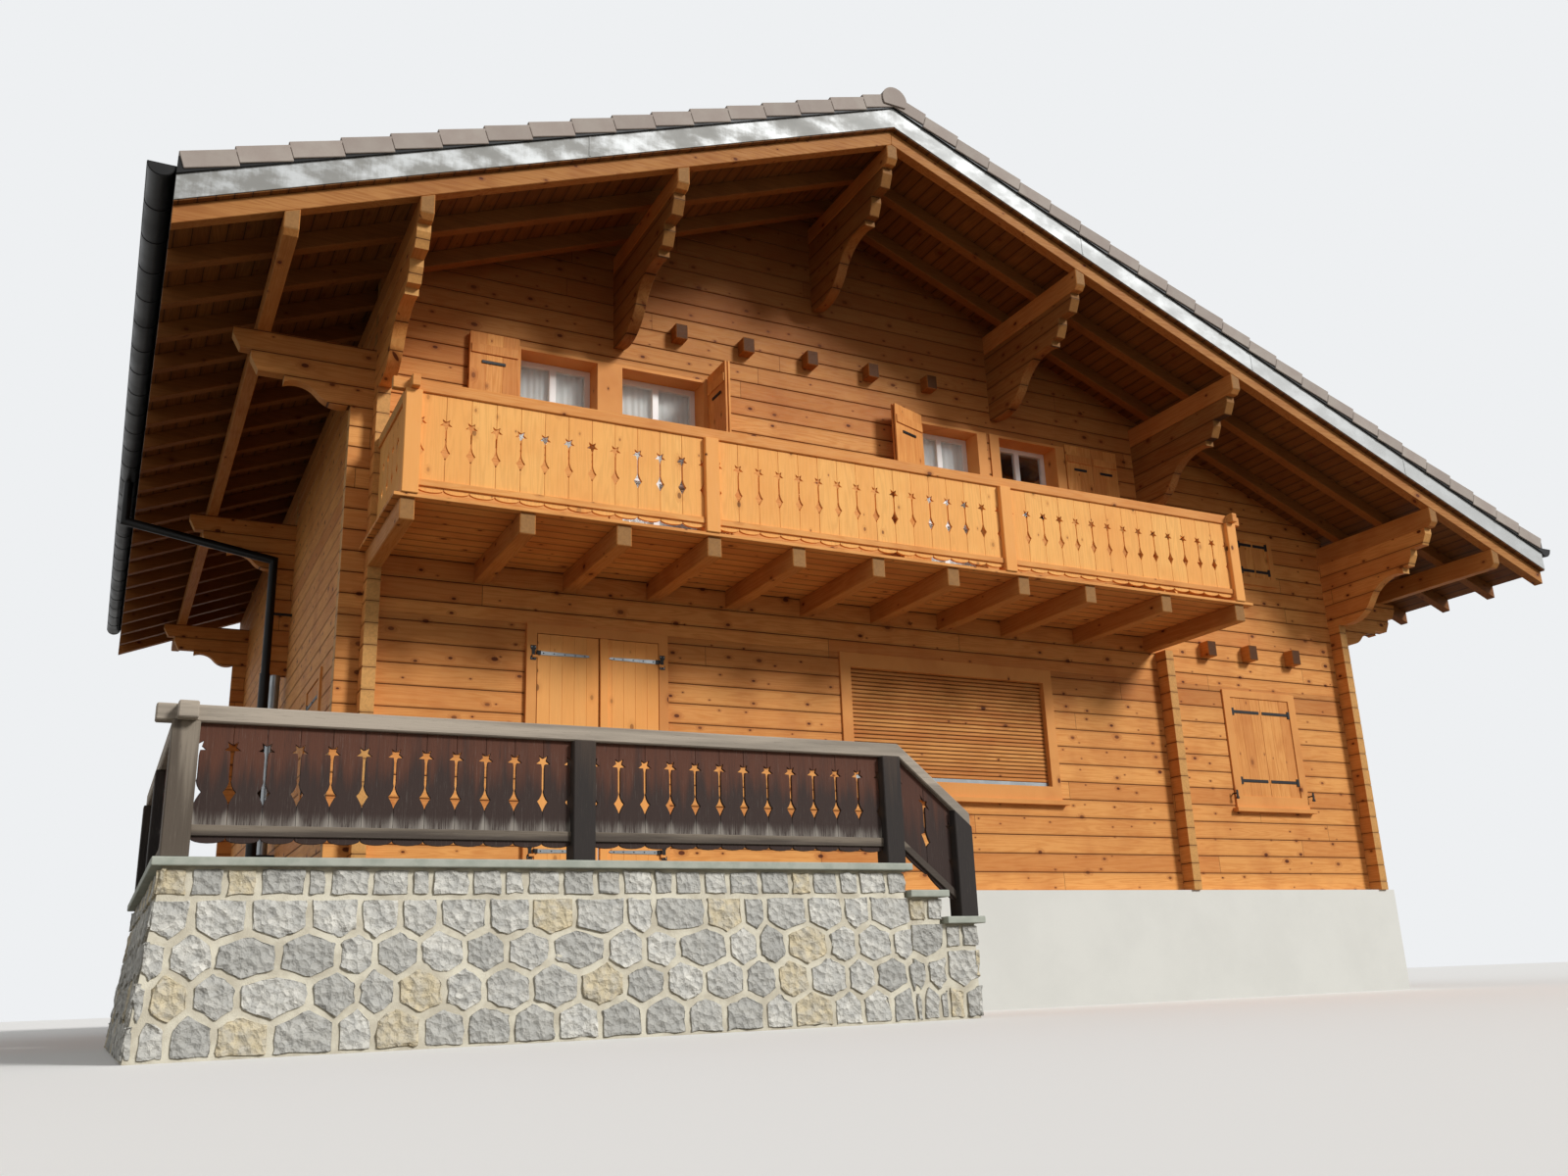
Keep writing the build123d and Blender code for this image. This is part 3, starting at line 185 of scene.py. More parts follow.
def ease(piece, width, segments=1):
    """Takes the sharpness off a piece's edges."""
    angle = radians(35)
    return modify(piece, "BEVEL", width=width, segments=segments, limit_method="ANGLE", angle_limit=angle)


def eased_block(low, high, width, segments=1):
    """Adds a squared piece with eased edges."""
    return ease(add_block(low, high), width, segments)


def moved(piece, x=0.0, y=0.0, z=0.0):
    """Copies a piece, with its own mesh, to another place."""
    twin = piece.copy()
    twin.data = piece.data.copy()
    twin.data.transform(Matrix.Translation((x, y, z)))
    bpy.context.scene.collection.objects.link(twin)
    return twin


def drop(piece):
    """Deletes a piece that has served as a pattern."""
    bpy.data.objects.remove(piece)


def plate(points, depth):
    """A flat piece cut to an outline of (x, z) points, its thickness along Y from 0 to depth."""
    bpy.ops.object.select_all(action="DESELECT")
    bpy.ops.mesh.primitive_circle_add(vertices=len(points), radius=1, fill_type="NGON")
    piece = bpy.context.object
    for vertex, (x, z) in zip(piece.data.vertices, points):
        vertex.co = (x, 0, z)
    with whole_mesh():
        bpy.ops.mesh.extrude_region_move(TRANSFORM_OT_translate={"value": (0, depth, 0)})
        bpy.ops.mesh.select_all(action="SELECT")
        bpy.ops.mesh.normals_make_consistent(inside=False)
    return piece


def placed(piece, matrix):
    """Moves or turns a piece's mesh by a matrix, with its faces still pointing out."""
    piece.data.transform(matrix)
    if matrix.determinant() < 0:
        piece.data.flip_normals()
    return piece


def frame_of(origin, along, outward, up=(0, 0, 1)):
    """Matrix that puts a flat layout on a wall: X runs along it, Y out of it and Z up it."""
    return Matrix.Translation(origin) @ Matrix((along, outward, up)).transposed().to_4x4()


def join(name, pieces):
    """Joins pieces to one mesh under one name."""
    select(*pieces)
    if len(pieces) > 1:
        bpy.ops.object.join()
    piece = bpy.context.object
    piece.name = name
    return piece


def set_tone(piece, value):
    """Gives all faces of a piece one number, by which its finish varies from its neighbours."""
    tone = piece.data.attributes.get("tone") or piece.data.attributes.new("tone", "FLOAT", "FACE")
    tone.data.foreach_set("value", [value] * len(piece.data.polygons))
    return piece


def finish_with(piece, finish):
    """Gives a piece a finish."""
    piece.data.materials.clear()
    piece.data.materials.append(finishes[finish])
    return piece


def dress(piece, finish=None, body="house", stands_for=()):
    """Lets a finished piece ride on its body and stand for CAD nodes."""
    if finish:
        finish_with(piece, finish)
    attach(piece, body)
    if stands_for:
        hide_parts(*stands_for)
    return piece


def stand_in(piece, node, finish=None, body="house"):
    """Dresses a piece that takes the place of one CAD node."""
    return dress(piece, finish, body, (node,))


def merged_copy(node, name):
    """Copies a CAD node's mesh as a new piece with its doubled points merged and flat faces whole."""
    piece = bpy.data.objects.new(name, frame["nodes"][node].data.copy())
    bpy.context.scene.collection.objects.link(piece)
    select(piece)
    bpy.ops.mesh.customdata_custom_splitnormals_clear()
    with whole_mesh():
        bpy.ops.mesh.remove_doubles(threshold=SMALL)
        bpy.ops.mesh.dissolve_limited(angle_limit=radians(1))
    bpy.ops.object.shade_flat()
    return piece


def loose_parts(node):
    """The corner points of each separate solid of a CAD node."""
    mesh = frame["nodes"][node].data
    keys = [tuple(round(c, 5) for c in v.co) for v in mesh.vertices]
    leader = {key: key for key in keys}

    def find(key):
        while leader[key] != key:
            leader[key] = leader[leader[key]]
            key = leader[key]
        return key

    for polygon in mesh.polygons:
        first = find(keys[polygon.vertices[0]])
        for index in polygon.vertices[1:]:
            leader[find(keys[index])] = first
    parts = {}
    for key in leader:
        parts.setdefault(find(key), []).append(Vector(key))
    return sorted(parts.values(), key=lambda part: tuple(box_of(part)[0]))


def box_of(points):
    """Lowest and highest corner of some points."""
    low = Vector(min(p[i] for p in points) for i in range(3))
    high = Vector(max(p[i] for p in points) for i in range(3))
    return low, high


def loose_boxes(node):
    """Lowest and highest corner of each separate solid of a CAD node."""
    return [box_of(part) for part in loose_parts(node)]


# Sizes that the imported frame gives
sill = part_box("front_wall_lower_left")[0].z
house_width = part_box("right_wall")[1].x
house_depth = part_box("back_wall")[1].y
course = 0.176
roof_board = 0.027
boards_low, boards_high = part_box("roof_boards_left")
slope = (boards_high.z - boards_low.z - roof_board) / (boards_high.x - boards_low.x)
ridge_x = boards_high.x
eave_left = boards_low.x
eave_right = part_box("roof_boards_right")[1].x
verge_front, verge_back = boards_low.y, boards_high.y
tiles_low, tiles_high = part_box("roof_tiles_left")
tile_lip = 0.026


def covering_low(x):
    """Height of the top of the roof boards over a place on X."""
    return boards_high.z - slope * abs(x - ridge_x)


covering = tiles_high.z - covering_low(ridge_x) + tile_lip


def length(name, description, default):
    """A length that a user may change."""
    return FloatProperty(name=name, description=description, default=default, unit="LENGTH")


def colour(name, description, hex_colour):
    """A colour that a user may change."""
    return FloatVectorProperty(
        name=name, description=description, subtype="COLOR", size=4, default=linear(hex_colour), min=0, max=1
    )


class ChaletSizes(bpy.types.PropertyGroup):
    """Sizes of the chalet's outer detail"""

    tile_gauge: length("Tile Gauge", "Length of a roof tile that shows, along X", 0.345)
    tile_width: length("Tile Width", "Width of a roof tile along the eaves", 0.303)
    tile_thickness: length("Tile Thickness", "Thickness of a roof tile", 0.024)
    verge_flap: length("Verge Flap", "Height of the flap of a verge tile", 0.13)
    ridge_cap: length("Ridge Cap", "Length of a ridge cap that shows", 0.4)
    plank: length("Plank Width", "Width of a railing plank", 0.187)
    star: length("Star Radius", "Outer radius of a star cut-out", 0.045)
    drop_width: length("Drop Half Width", "Half the width of a drop cut-out", 0.033)
    plank_thickness: length("Plank Thickness", "Thickness of a railing plank", 0.024)
    slit: length("Slit Half Width", "Half the width of the slit under a star", 0.004)
    scallop: length("Scallop", "How far the foot of a plank is rounded", 0.026)
    gutter_strap: length("Gutter Straps", "Distance between the gutter's straps", 0.48)
    zinc_sheet: length("Zinc Sheet", "Length of a sheet of the zinc fascia", 2.4)
    stone: length("Stone Width", "Usual width of a stone of the terrace wall", 0.27)
    mortar: length("Mortar Joint", "Width of a mortar joint", 0.014)
    stone_row: length("Stone Row", "Height of a row of stones", 0.215)
    dressed_row: length("Dressed Row", "Height of the dressed top row of stones", 0.172)
    joint_depth: length("Joint Depth", "How far the mortar lies behind the stones", 0.033)
    slat: length("Slat Height", "Height of a roller slat", 0.038)
    pleat: length("Pleat", "Width of a curtain pleat", 0.062)
    seed: IntProperty(name="Seed", description="Start of the random draws", default=7)


class ChaletColours(bpy.types.PropertyGroup):
    """Colours of the chalet's finishes"""

    spruce: colour("Spruce", "Oiled spruce logs", "#D68D47")
    spruce_pale: colour("Pale Spruce", "Early wood of the logs", "#EAA75E")
    spruce_dark: colour("Dark Spruce", "Late wood of the logs", "#A05625")
    plank_pale: colour("Pale Planks", "Balcony planks", "#EDAF62")
    knot: colour("Knots", "Knots in the spruce", "#5F2E12")
    weathered: colour("Weathered Wood", "Grey sunned wood of the terrace rail", "#B3A695")
    aged: colour("Aged Planks", "Dark planks of the terrace", "#2C1A12")
    render: colour("Render", "White rendered plinth", "#E4E3DB")
    tile: colour("Roof Tile", "Flat concrete roof tiles", "#A5978D")
    zinc: colour("Zinc", "Weathered zinc sheet", "#BDBFBE")
    gutter: colour("Gutter", "Dark painted gutters", "#100F0E")
    stone: colour("Stone", "Grey limestone", "#C6C4BC")
    mortar: colour("Mortar", "Lime mortar", "#E2DBC6")
    slab: colour("Slab", "Pale green-grey paving", "#B4B7A9")


def sizes():
    """The sizes that are set in the panel."""
    return bpy.context.scene.chalet_sizes


def colours():
    """The colours that are set in the panel."""
    return bpy.context.scene.chalet_colours


# Finishes
grain_axes = {"X": (0, (1, 2)), "Y": (1, (0, 2)), "Z": (2, (0, 1))}


def drawn_out(add, place, chance, axis, share, reach):
    """Places squeezed along the grain, so that a pattern on them is long, and shifted for each board."""
    stretch = [1.0, 1.0, 1.0]
    stretch[axis] = share
    return add("Mapping", place, add("VectorMath", chance["Color"], reach), Scale=stretch)


def tone_of(add, factor):
    """The number that a piece's faces carry, spread so that near ones give other chances."""
    return add("MULTIPLY", add("Attribute", attribute_name="tone").outputs["Fac"], factor)


def joint_distance(add, count, pitch):
    """Distance to the nearest joint, from the number of pitches that lie before a place."""
    part = add("FRACT", count)
    return add("MULTIPLY", add("MINIMUM", part, add("SUBTRACT", 1.0, part)), pitch)


def wood(
    name, pale, mid, dark, grain, layer=None, knots=1.0, end_grain=None, joints=0.0, painted_shade_band=None, ripe=0.95
):
    """Sawn and oiled spruce: fine grain along its length, growth bands, and small dark knots.

    layer is (pitch, offset, axis number) where the wood lies in courses or boards of one pitch.
    joints is the length between butt joints in a course, where it has them. The shade band is the two heights
    between which the wood is darkened upward, as painted shade under the roof or painted shadow under the
    balcony, and by how much. ripe is how dark a knot is.
    """
    material, add = new_material(name)
    place = add("TexCoord").outputs
    axes = add("SeparateXYZ", place["Object"]).outputs
    along_axis, across_axes = grain_axes[grain]
    along = axes[along_axis]
    across = add("ADD", *(axes[axis] for axis in across_axes))
    index = tone_of(add, 83.7)
    if layer:
        pitch, offset, axis = layer
        level = add("DIVIDE", add("SUBTRACT", axes[axis], offset), pitch)
        index = add("ADD", index, add("FLOOR", level))
    chance = add("TexWhiteNoise", index).outputs
    if joints:
        run = add("DIVIDE", add("ADD", along, add("MULTIPLY", chance["Value"], joints)), joints)
        index = add("ADD", index, add("MULTIPLY", add("FLOOR", run), 17.3))
        chance = add("TexWhiteNoise", index).outputs
    mapped = drawn_out(add, place["Object"], chance, along_axis, 0.06, 9.0)
    fine = add("TexNoise", mapped, Scale=170.0, Detail=4.0, Roughness=0.6)
    broad = add("TexNoise", mapped, Scale=9.0, Detail=2.0, Distortion=0.4)
    flat = add("CombineXYZ", add("MULTIPLY", along, 0.62), across)
    pattern = add("TexVoronoi", flat, voronoi_dimensions="2D", Scale=6.0, Randomness=1.0).outputs
    cell = add("SeparateColor", pattern["Color"]).outputs
    radius = add("ADD", add("MULTIPLY", add("POWER", cell[0], 2.0), 0.085), 0.032)
    near = add("DIVIDE", pattern["Distance"], radius)
    present = add("LESS_THAN", cell[1], 0.55 * knots)
    depth = add("ADD", add("MULTIPLY", cell[2], 0.5), ripe - 0.25)
    core = add("MULTIPLY", add("MULTIPLY", add("MapRange", near, 1.15, 0.75), present), depth)
    halo = add("MULTIPLY", add("MapRange", near, 3.2, 0.9), present)
    phase = add("ADD", add("MULTIPLY", broad, 70.0), add("MULTIPLY", halo, 9.0))
    bands = add("MapRange", add("SINE", phase), -0.6, 1.0)
    figure = add("ADD", add("MULTIPLY", bands, 0.26), add("MULTIPLY", fine, 0.62))
    base = add("Mix", add("MapRange", figure, 0.15, 0.85), pale, mid)
    base = add("Mix", add("MULTIPLY", add("MapRange", figure, 0.62, 0.95), 0.55), base, dark)
    streak = add("TexNoise", place["Object"], Scale=2.2, Detail=3.0)
    base = add("Mix", add("MapRange", streak, 0.42, 0.75, 0.0, 0.35), base, shaded(dark, 1.25))
    base = add("Mix", add("MapRange", chance["Value"], 0.0, 1.0, 0.0, 0.42), base, shaded(dark, 1.3))
    base = add("Mix", add("MULTIPLY", halo, 0.45), base, dark)
    base = add("Mix", core, base, colours().knot)
    if end_grain:
        normal = add("SeparateXYZ", place["Normal"]).outputs
        facing = add("MapRange", add("ABSOLUTE", normal[along_axis]), 0.75, 0.95)
        rings = add("TexNoise", place["Object"], Scale=34.0, Detail=3.0, Distortion=1.2)
        ends = add("Mix", add("MapRange", rings, 0.35, 0.7), end_grain, shaded(end_grain, 0.82))
        base = add("Mix", facing, base, ends)
    relief = add("MULTIPLY", fine, 0.3)
    if layer:
        edge = joint_distance(add, level, pitch)
        seam = add("MapRange", edge, 0.0048, 0.0015)
        # Painted shade: a soft darkening within 30 mm of each course joint stands for the shade in the
        # groove; the thin dark line after it is the joint itself.
        base = add("Mix", add("MapRange", edge, 0.03, 0.003, 0.0, 0.25), base, shaded(dark, 0.45))
        base = add("Mix", add("MULTIPLY", seam, 0.9), base, shaded(dark, 0.16))
        relief = add("SUBTRACT", relief, seam)
    if joints:
        butt = add("MapRange", joint_distance(add, run, joints), 0.0035, 0.001)
        base = add("Mix", add("MULTIPLY", butt, 0.8), base, shaded(dark, 0.16))
        relief = add("SUBTRACT", relief, butt)
    # Painted shade: the wood darkens upward between two heights, standing for the shadow under the roof or
    # the balcony.
    if painted_shade_band:
        low, high, share = painted_shade_band
        base = add("Mix", add("MapRange", axes[2], low, high, 0.0, share), base, shaded(dark, 0.4))
    rough = add("MapRange", fine, 0.3, 0.7, 0.55, 0.72)
    surface(add, base, (0.5, 0.002, relief), Roughness=rough, Specular_IOR_Level=0.16)
    return material


def aged_wood(name, pale, mid, dark, grain, low, high, fans=None):
    """Bare larch blackened by sun and rain: silver on top, bleached beside the joints low down.

    low and high are the heights between which it darkens. fans is the height under which rain from a
    cut-out has bleached the plank beside its joint, how much wider the bleached part is further down, and
    the height of the rail behind which the wood is dark again.
    """
    material, add = new_material(name)
    place = add("TexCoord").outputs["Object"]
    height = add("SeparateXYZ", place).outputs[2]
    chance = add("TexWhiteNoise", tone_of(add, 83.7)).outputs
    mapped = drawn_out(add, place, chance, grain_axes[grain][0], 0.05, 7.0)
    fine = add("TexNoise", mapped, Scale=130.0, Detail=5.0, Roughness=0.7)
    broad = add("TexNoise", mapped, Scale=16.0, Detail=3.0)
    darkened = add("MapRange", height, low, high)
    wet = add("ADD", darkened, add("MULTIPLY", add("SUBTRACT", broad, 0.5), 1.7))
    base = add("Mix", add("MapRange", wet, 0.35, 1.0), dark, mid)
    base = add("Mix", add("MapRange", fine, 0.55, 0.85, 0.0, 0.3), base, pale)
    base = add("Mix", add("MapRange", fine, 0.44, 0.3, 0.0, 0.6), base, shaded(dark, 0.7))
    if fans:
        tip, spread, rail = fans
        across = add("Attribute", attribute_name="across").outputs["Fac"]
        joint = add("SUBTRACT", sizes().plank / 2, add("ABSOLUTE", across))
        depth = add("MAXIMUM", add("SUBTRACT", tip, height), 0.0)
        reach = add("ADD", add("MULTIPLY", depth, spread), 0.004)
        ragged = add("ADD", add("MULTIPLY", fine, 0.05), add("MULTIPLY", broad, 0.05))
        inside = add("DIVIDE", add("ADD", joint, add("SUBTRACT", ragged, 0.036)), reach)
        beside = add("MapRange", inside, 1.9, 0.1)
        bleached = add("MULTIPLY", beside, add("MapRange", depth, 0.0, 0.1, 0.1, 0.8))
        low_down = add("MapRange", depth, 0.03, 0.15)
        splashed = add("MULTIPLY", low_down, add("MapRange", fine, 0.35, 0.65, 0.0, 0.6))
        open_air = add("MapRange", height, rail - 0.012, rail - 0.004)
        bleached = add("MULTIPLY", add("MAXIMUM", bleached, splashed), open_air)
        base = add("Mix", bleached, base, pale)
    surface(add, base, (0.6, 0.003, fine), Roughness=0.82)
    return material


def mineral(name, base_colour, other, grit, patch, roughness=0.85, relief=0.003, spread=0.5, chips=0):
    """Concrete, render or stone: a base colour with clouds of another, grit and a rough surface.

    grit, patch and chips are the sizes of the grain, of the clouds and of the chips of a split face, in
    millimetres; only split stone has chips.
    """
    material, add = new_material(name)
    place = add("TexCoord").outputs["Object"]
    chance = add("TexWhiteNoise", tone_of(add, 61.3)).outputs
    clouds = add("TexNoise", place, Scale=1000 / patch, Detail=5.0, Roughness=0.6)
    grains = add("TexNoise", place, Scale=1000 / grit, Detail=3.0)
    base = add("Mix", add("MapRange", clouds, 0.35, 0.68), base_colour, other)
    share = add("MapRange", chance["Value"], 0.0, 1.0, 0.0, spread)
    base = add("Mix", share, base, shaded(base_colour, 0.72))
    base = add("Mix", add("MapRange", grains, 0.45, 0.75, 0.0, 0.22), base, shaded(base_colour, 0.6))
    heights = add("ADD", grains, add("MULTIPLY", clouds, 2.0))
    if chips:
        warped = add("VectorMath", clouds.outputs["Color"], 0.03)
        bent = add("VectorMath", place, warped, operation="ADD")
        faces = add("TexVoronoi", bent, Scale=1000 / chips).outputs
        lightness = add("SeparateColor", faces["Color"])
        base = add("Mix", add("MapRange", lightness, 0.1, 0.9, 0.0, 0.3), base, shaded(base_colour, 0.5))
        heights = add("ADD", heights, add("MULTIPLY", faces["Distance"], 2.5))
    surface(add, base, (0.6, relief, heights), Roughness=roughness)
    return material


def sheet_metal(name, base_colour, stain, metallic, roughness, streak=0.0, shade_side=None, gloss=0.5):
    """Rolled sheet with a thin skin of weather; streak is how far rain has run down it.

    shade_side is the two places on X between which the stains of the damp side fade away.
    """
    material, add = new_material(name)
    place = add("TexCoord").outputs["Object"]
    drawn = add("Mapping", place, Scale=(1.0, 1.0, 0.12))
    drips = add("TexNoise", drawn, Scale=26.0, Detail=4.0, Roughness=0.7)
    pressed = add("Mapping", place, Scale=(1.0, 1.0, 1.8))
    clouds = add("TexNoise", pressed, Scale=2.6, Detail=6.0, Roughness=0.6)
    wet = add("ADD", add("MULTIPLY", drips, 0.16), add("MULTIPLY", clouds, 0.94))
    soaked = add("MapRange", wet, 0.4, 0.62, 0.0, max(streak, 0.15))
    if shade_side:
        across = add("SeparateXYZ", place)
        soaked = add("MULTIPLY", soaked, add("MapRange", across, shade_side[1], shade_side[0], 0.3, 1.0))
    base = add("Mix", soaked, base_colour, stain)
    rough = add("MapRange", clouds, 0.3, 0.7, roughness - 0.08, roughness + 0.1)
    surface(add, base, (0.15, 0.001, clouds), Metallic=metallic, Roughness=rough, Specular_IOR_Level=gloss)
    return material


def fine_pattern(name, base_colour, scale, detail, streak, relief, **inputs):
    """A finish whose only pattern is fine: streak is how much darker it gets, relief how deep it is."""
    material, add = new_material(name)
    pattern = add("TexNoise", add("TexCoord").outputs["Object"], Scale=scale, Detail=detail)
    base = add("Mix", add("MapRange", pattern, 0.4, 0.7, 0.0, 0.12), base_colour, shaded(base_colour, streak))
    surface(add, base, (0.2, relief, pattern), **inputs)
    return material


def painted(name, base_colour):
    """Brush-painted joinery, with faint strokes and a soft gloss."""
    return fine_pattern(name, base_colour, 90.0, 3.0, 0.8, 0.0008, Roughness=0.45)


def net_cloth(name, base_colour):
    """Fine woven net: thread about 0.4 mm apart, drawn ten times as coarse so that it shows."""
    return fine_pattern(name, base_colour, 250.0, 1.0, 0.85, 0.0005, Roughness=0.9, Sheen_Weight=0.2)


def clear_glass(name):
    """Clear float glass in front of a dark room, with its sharp reflection."""
    material, add = new_material(name)
    surface(add, "#F4F8F8", Roughness=0.02, IOR=1.5, Transmission_Weight=1.0, Alpha=0.35)
    return material


finishes = {}


def make_finishes():
    """Makes each finish once, named for what the real surface is."""
    c = colours()
    pale, mid, dark = c.spruce_pale, c.spruce, c.spruce_dark
    plank, aged, grey = c.plank_pale, c.aged, c.weathered
    spruce = (pale, mid, dark)
    silver = (shaded(grey, 1.15), grey, shaded(grey, 0.6))
    ends = "#D39C5A"
    log_x = (course, sill, 2)
    log_y = (course, sill + course / 2, 2)
    rail_wood = (pale, shaded(mid, 1.1), dark)
    finishes.update(
        logs_x=wood("oiled_spruce_logs_x", *spruce, "X", log_x, 1.0, ends, 4.7),
        logs_y=wood("oiled_spruce_logs_y", *spruce, "Y", log_y, 1.0, ends, 5.3),
        # The gable logs carry painted shade, darker up towards the roof, and the lower logs painted shadow,
        # darker up towards the balcony.
        logs_upper=wood("oiled_spruce_gable_logs", *spruce, "X", log_x, 1.0, ends, 4.7, (4.6, 7.2, 0.75)),
        logs_lower=wood("oiled_spruce_lower_logs", *spruce, "X", log_x, 1.15, ends, 4.7, (2.5, 3.7, 0.4)),
        # Painted shade and painted light: the inner rafters are a dark copy of the spruce, for the shade
        # under the roof as well as its browning with age; the verge rafters are the lighter, lit copy.
        rafter=wood(
            "tanned_spruce_rafter", shaded(mid, 0.46), shaded(mid, 0.33), shaded(dark, 0.32), "X", None, 0.6
        ),
        verge=wood(
            "sunned_spruce_rafter", shaded(pale, 0.66), shaded(mid, 0.56), shaded(dark, 0.6), "X", None, 0.9
        ),
        # Painted shade: the beams are a darker copy of the spruce, ends included, for the shade on the floor
        # beams and purlins.
        beam_y=wood(
            "sawn_spruce_beam_y", shaded(pale, 0.8), shaded(mid, 0.78), shaded(dark, 0.8),
            "Y", None, 0.6, "#9A6E3E"
        ),
        # Painted shade: the corbels are a much darker copy of the spruce, ends included, for the shade they
        # stand in.
        corbel=wood(
            "carved_spruce_corbel", shaded(pale, 0.42), shaded(mid, 0.37), shaded(dark, 0.42),
            "Y", log_y, 1.0,
            "#91622F"
        ),
        attic_beam=wood(
            "dark_spruce_beam", shaded(mid, 0.6), shaded(mid, 0.38), shaded(dark, 0.45),
            "Y", None, 0.6, "#55300F"
        ),
        upright=wood("sawn_spruce_upright", shaded(pale, 1.05), pale, mid, "Z", None, 0.5, ends),
        rail=wood("sawn_spruce_rail", *rail_wood, "X", None, 0.5, ends),
        rail_y=wood("sawn_spruce_rail_y", *rail_wood, "Y", None, 0.5, ends),
        planks=wood(
            "planed_spruce_planks", shaded(plank, 1.12), shaded(plank, 0.92), shaded(mid, 0.95),
            "Z", None, 0.5,
            ripe=0.5
        ),
        # Painted shade: the soffit boards are darkened for the shade under the roof, together with their
        # browning with age.
        soffit=wood(
            "tanned_spruce_soffit", shaded(mid, 0.34), shaded(mid, 0.22), shaded(dark, 0.22),
            "Y", (0.115, 0.0, 0), 0.8
        ),
        deck=wood("spruce_deck_boards", *spruce, "X", (0.14, 0.0, 1), 0.7),
        floor=wood("spruce_floor_boards", *spruce, "Y", (0.16, 0.0, 0), 0.6),
        shutter=wood("oiled_spruce_shutter", shaded(pale, 1.02), mid, dark, "Z", None, 0.7, ripe=0.55),
        door=wood("oiled_spruce_door", shaded(pale, 1.06), pale, mid, "Z", None, 0.6, ripe=0.45),
        casing=wood("oiled_spruce_casing", shaded(pale, 1.02), pale, dark, "Z", None, 0.3),
        slats=wood("spruce_roller_slats", *spruce, "X", (0.038, 0.0, 2), 0.15),
        aged_rail=aged_wood("silvered_larch_rail", *silver, "X", 0.0, 3.0),
        aged=aged_wood(
            "sunburnt_larch_planks", "#A8A095", "#552E1B", aged, "Z", 1.3, 1.8, (1.395, 0.32, 1.272)
        ),
        aged_stair=aged_wood("sunburnt_larch_stair_planks", "#8C8378", "#4A2818", aged, "Z", 1.0, 1.8),
        aged_low=aged_wood("weathered_larch_low_rail", "#A29A8E", "#7A6E5F", "#443A31", "X", 1.15, 1.3),
        aged_post=aged_wood("weathered_larch_post", grey, "#8E8272", "#574C40", "Z", 1.0, 2.2),
        burnt_post=aged_wood("sunburnt_larch_post", "#7C7063", "#3A2D23", "#1F1712", "Z", 1.0, 2.2),
        render=mineral("lime_render", c.render, shaded(c.render, 0.95), 3, 700, 0.9, 0.0015, 0.0),
        concrete=mineral("cast_concrete", "#A9A79F", "#8F8D86", 5, 400, 0.9),
        tile=mineral("moulded_concrete_tile", c.tile, "#B0A59A", 4, 240, 0.8, 0.0012, 0.35),
        stone=mineral("split_limestone", c.stone, "#EAE6DA", 14, 80, 0.85, 0.022, 0.8, 48),
        warm_stone=mineral("ochre_limestone", "#E0D0AC", "#C9C3B4", 14, 70, 0.85, 0.022, 0.25, 52),
        mortar=mineral("lime_mortar", c.mortar, "#C6BDA8", 6, 160, 0.95, 0.006, 0.0),
        slab=mineral("sawn_gneiss_slab", c.slab, "#9DA395", 4, 120, 0.7, 0.002, 0.3),
        zinc=sheet_metal(
            "weathered_zinc", c.zinc, "#6F6C64", 0.15, 0.5, 0.82, (ridge_x - 1.0, ridge_x + 1.0)
        ),
        gutter=sheet_metal("painted_steel_gutter", c.gutter, "#1C1917", 0.0, 0.42, 0.4, gloss=0.22),
        pipe=sheet_metal("grey_steel_pipe", "#A7ABAD", "#84888A", 0.7, 0.4, 0.3),
        iron=sheet_metal("forged_black_iron", "#1A1918", "#2B2725", 0.3, 0.5, 0.3, gloss=0.3),
        strap=sheet_metal("galvanised_strap", "#8E9394", "#5C6062", 0.75, 0.42, 0.5),
        white=painted("white_gloss_joinery", "#ECEBE6"),
        glass=clear_glass("float_glass"),
        net=net_cloth("white_net_curtain", "#CFCFCA"),
    )


def show_with(finish, *nodes):
    """Gives CAD nodes that stay on show their finish."""
    for node in nodes:
        finish_with(frame["nodes"][node], finish)


class CHALET_OT_finishes(bpy.types.Operator):
    """Makes the finishes and gives them to the construction that stays on show"""

    bl_idname = "chalet.finishes"
    bl_label = "Make Finishes"

    def execute(self, context):
        make_finishes()
        show_with("render", "plinth")
        show_with("concrete", "ground_floor")
        show_with("floor", "upper_floor", "attic_floor")
        show_with("soffit", "roof_boards_left", "roof_boards_right")
        show_with("glass", "window_glass")
        return {"FINISHED"}


# CAD node, finish, and width of the eased edges
timber_copies = (
    ("front_wall_lower_left", "logs_lower", 0.003),
    ("front_wall_lower_right", "logs_lower", 0.003),
    ("front_wall_upper", "logs_upper", 0.003),
    ("back_wall", "logs_x", 0.003),
    ("spine_wall", "logs_x", 0.003),
    ("left_wall", "logs_y", 0.003),
    ("right_wall", "logs_y", 0.003),
    ("cross_wall", "logs_y", 0.003),
    ("floor_beams", "beam_y", 0.006),
    ("attic_beams", "attic_beam", 0.006),
    ("purlins", "beam_y", 0.006),
    ("front_corbels", "corbel", 0.006),
    ("back_corbels", "corbel", 0.006),
    ("rafters_left", "rafter", 0.004),
    ("rafters_right", "rafter", 0.004),
    ("balcony_deck", "deck", 0.003),
    ("balcony_posts", "upright", 0.005),
    ("balcony_rails", "rail", 0.005),
    ("door_casing", "casing", 0.002),
    ("window_casings", "casing", 0.002),
    ("terrace_posts", "aged_post", 0.006),
    ("terrace_rails", "aged_rail", 0.008),
)


verge_reach = 0.15
balcony_end = 8.3
corner_post = (-1.0, -1.6)


def at_verge(place):
    """True on the outermost rafters, which light reaches."""
    return place.y < verge_front + verge_reach or place.y > verge_back - verge_reach


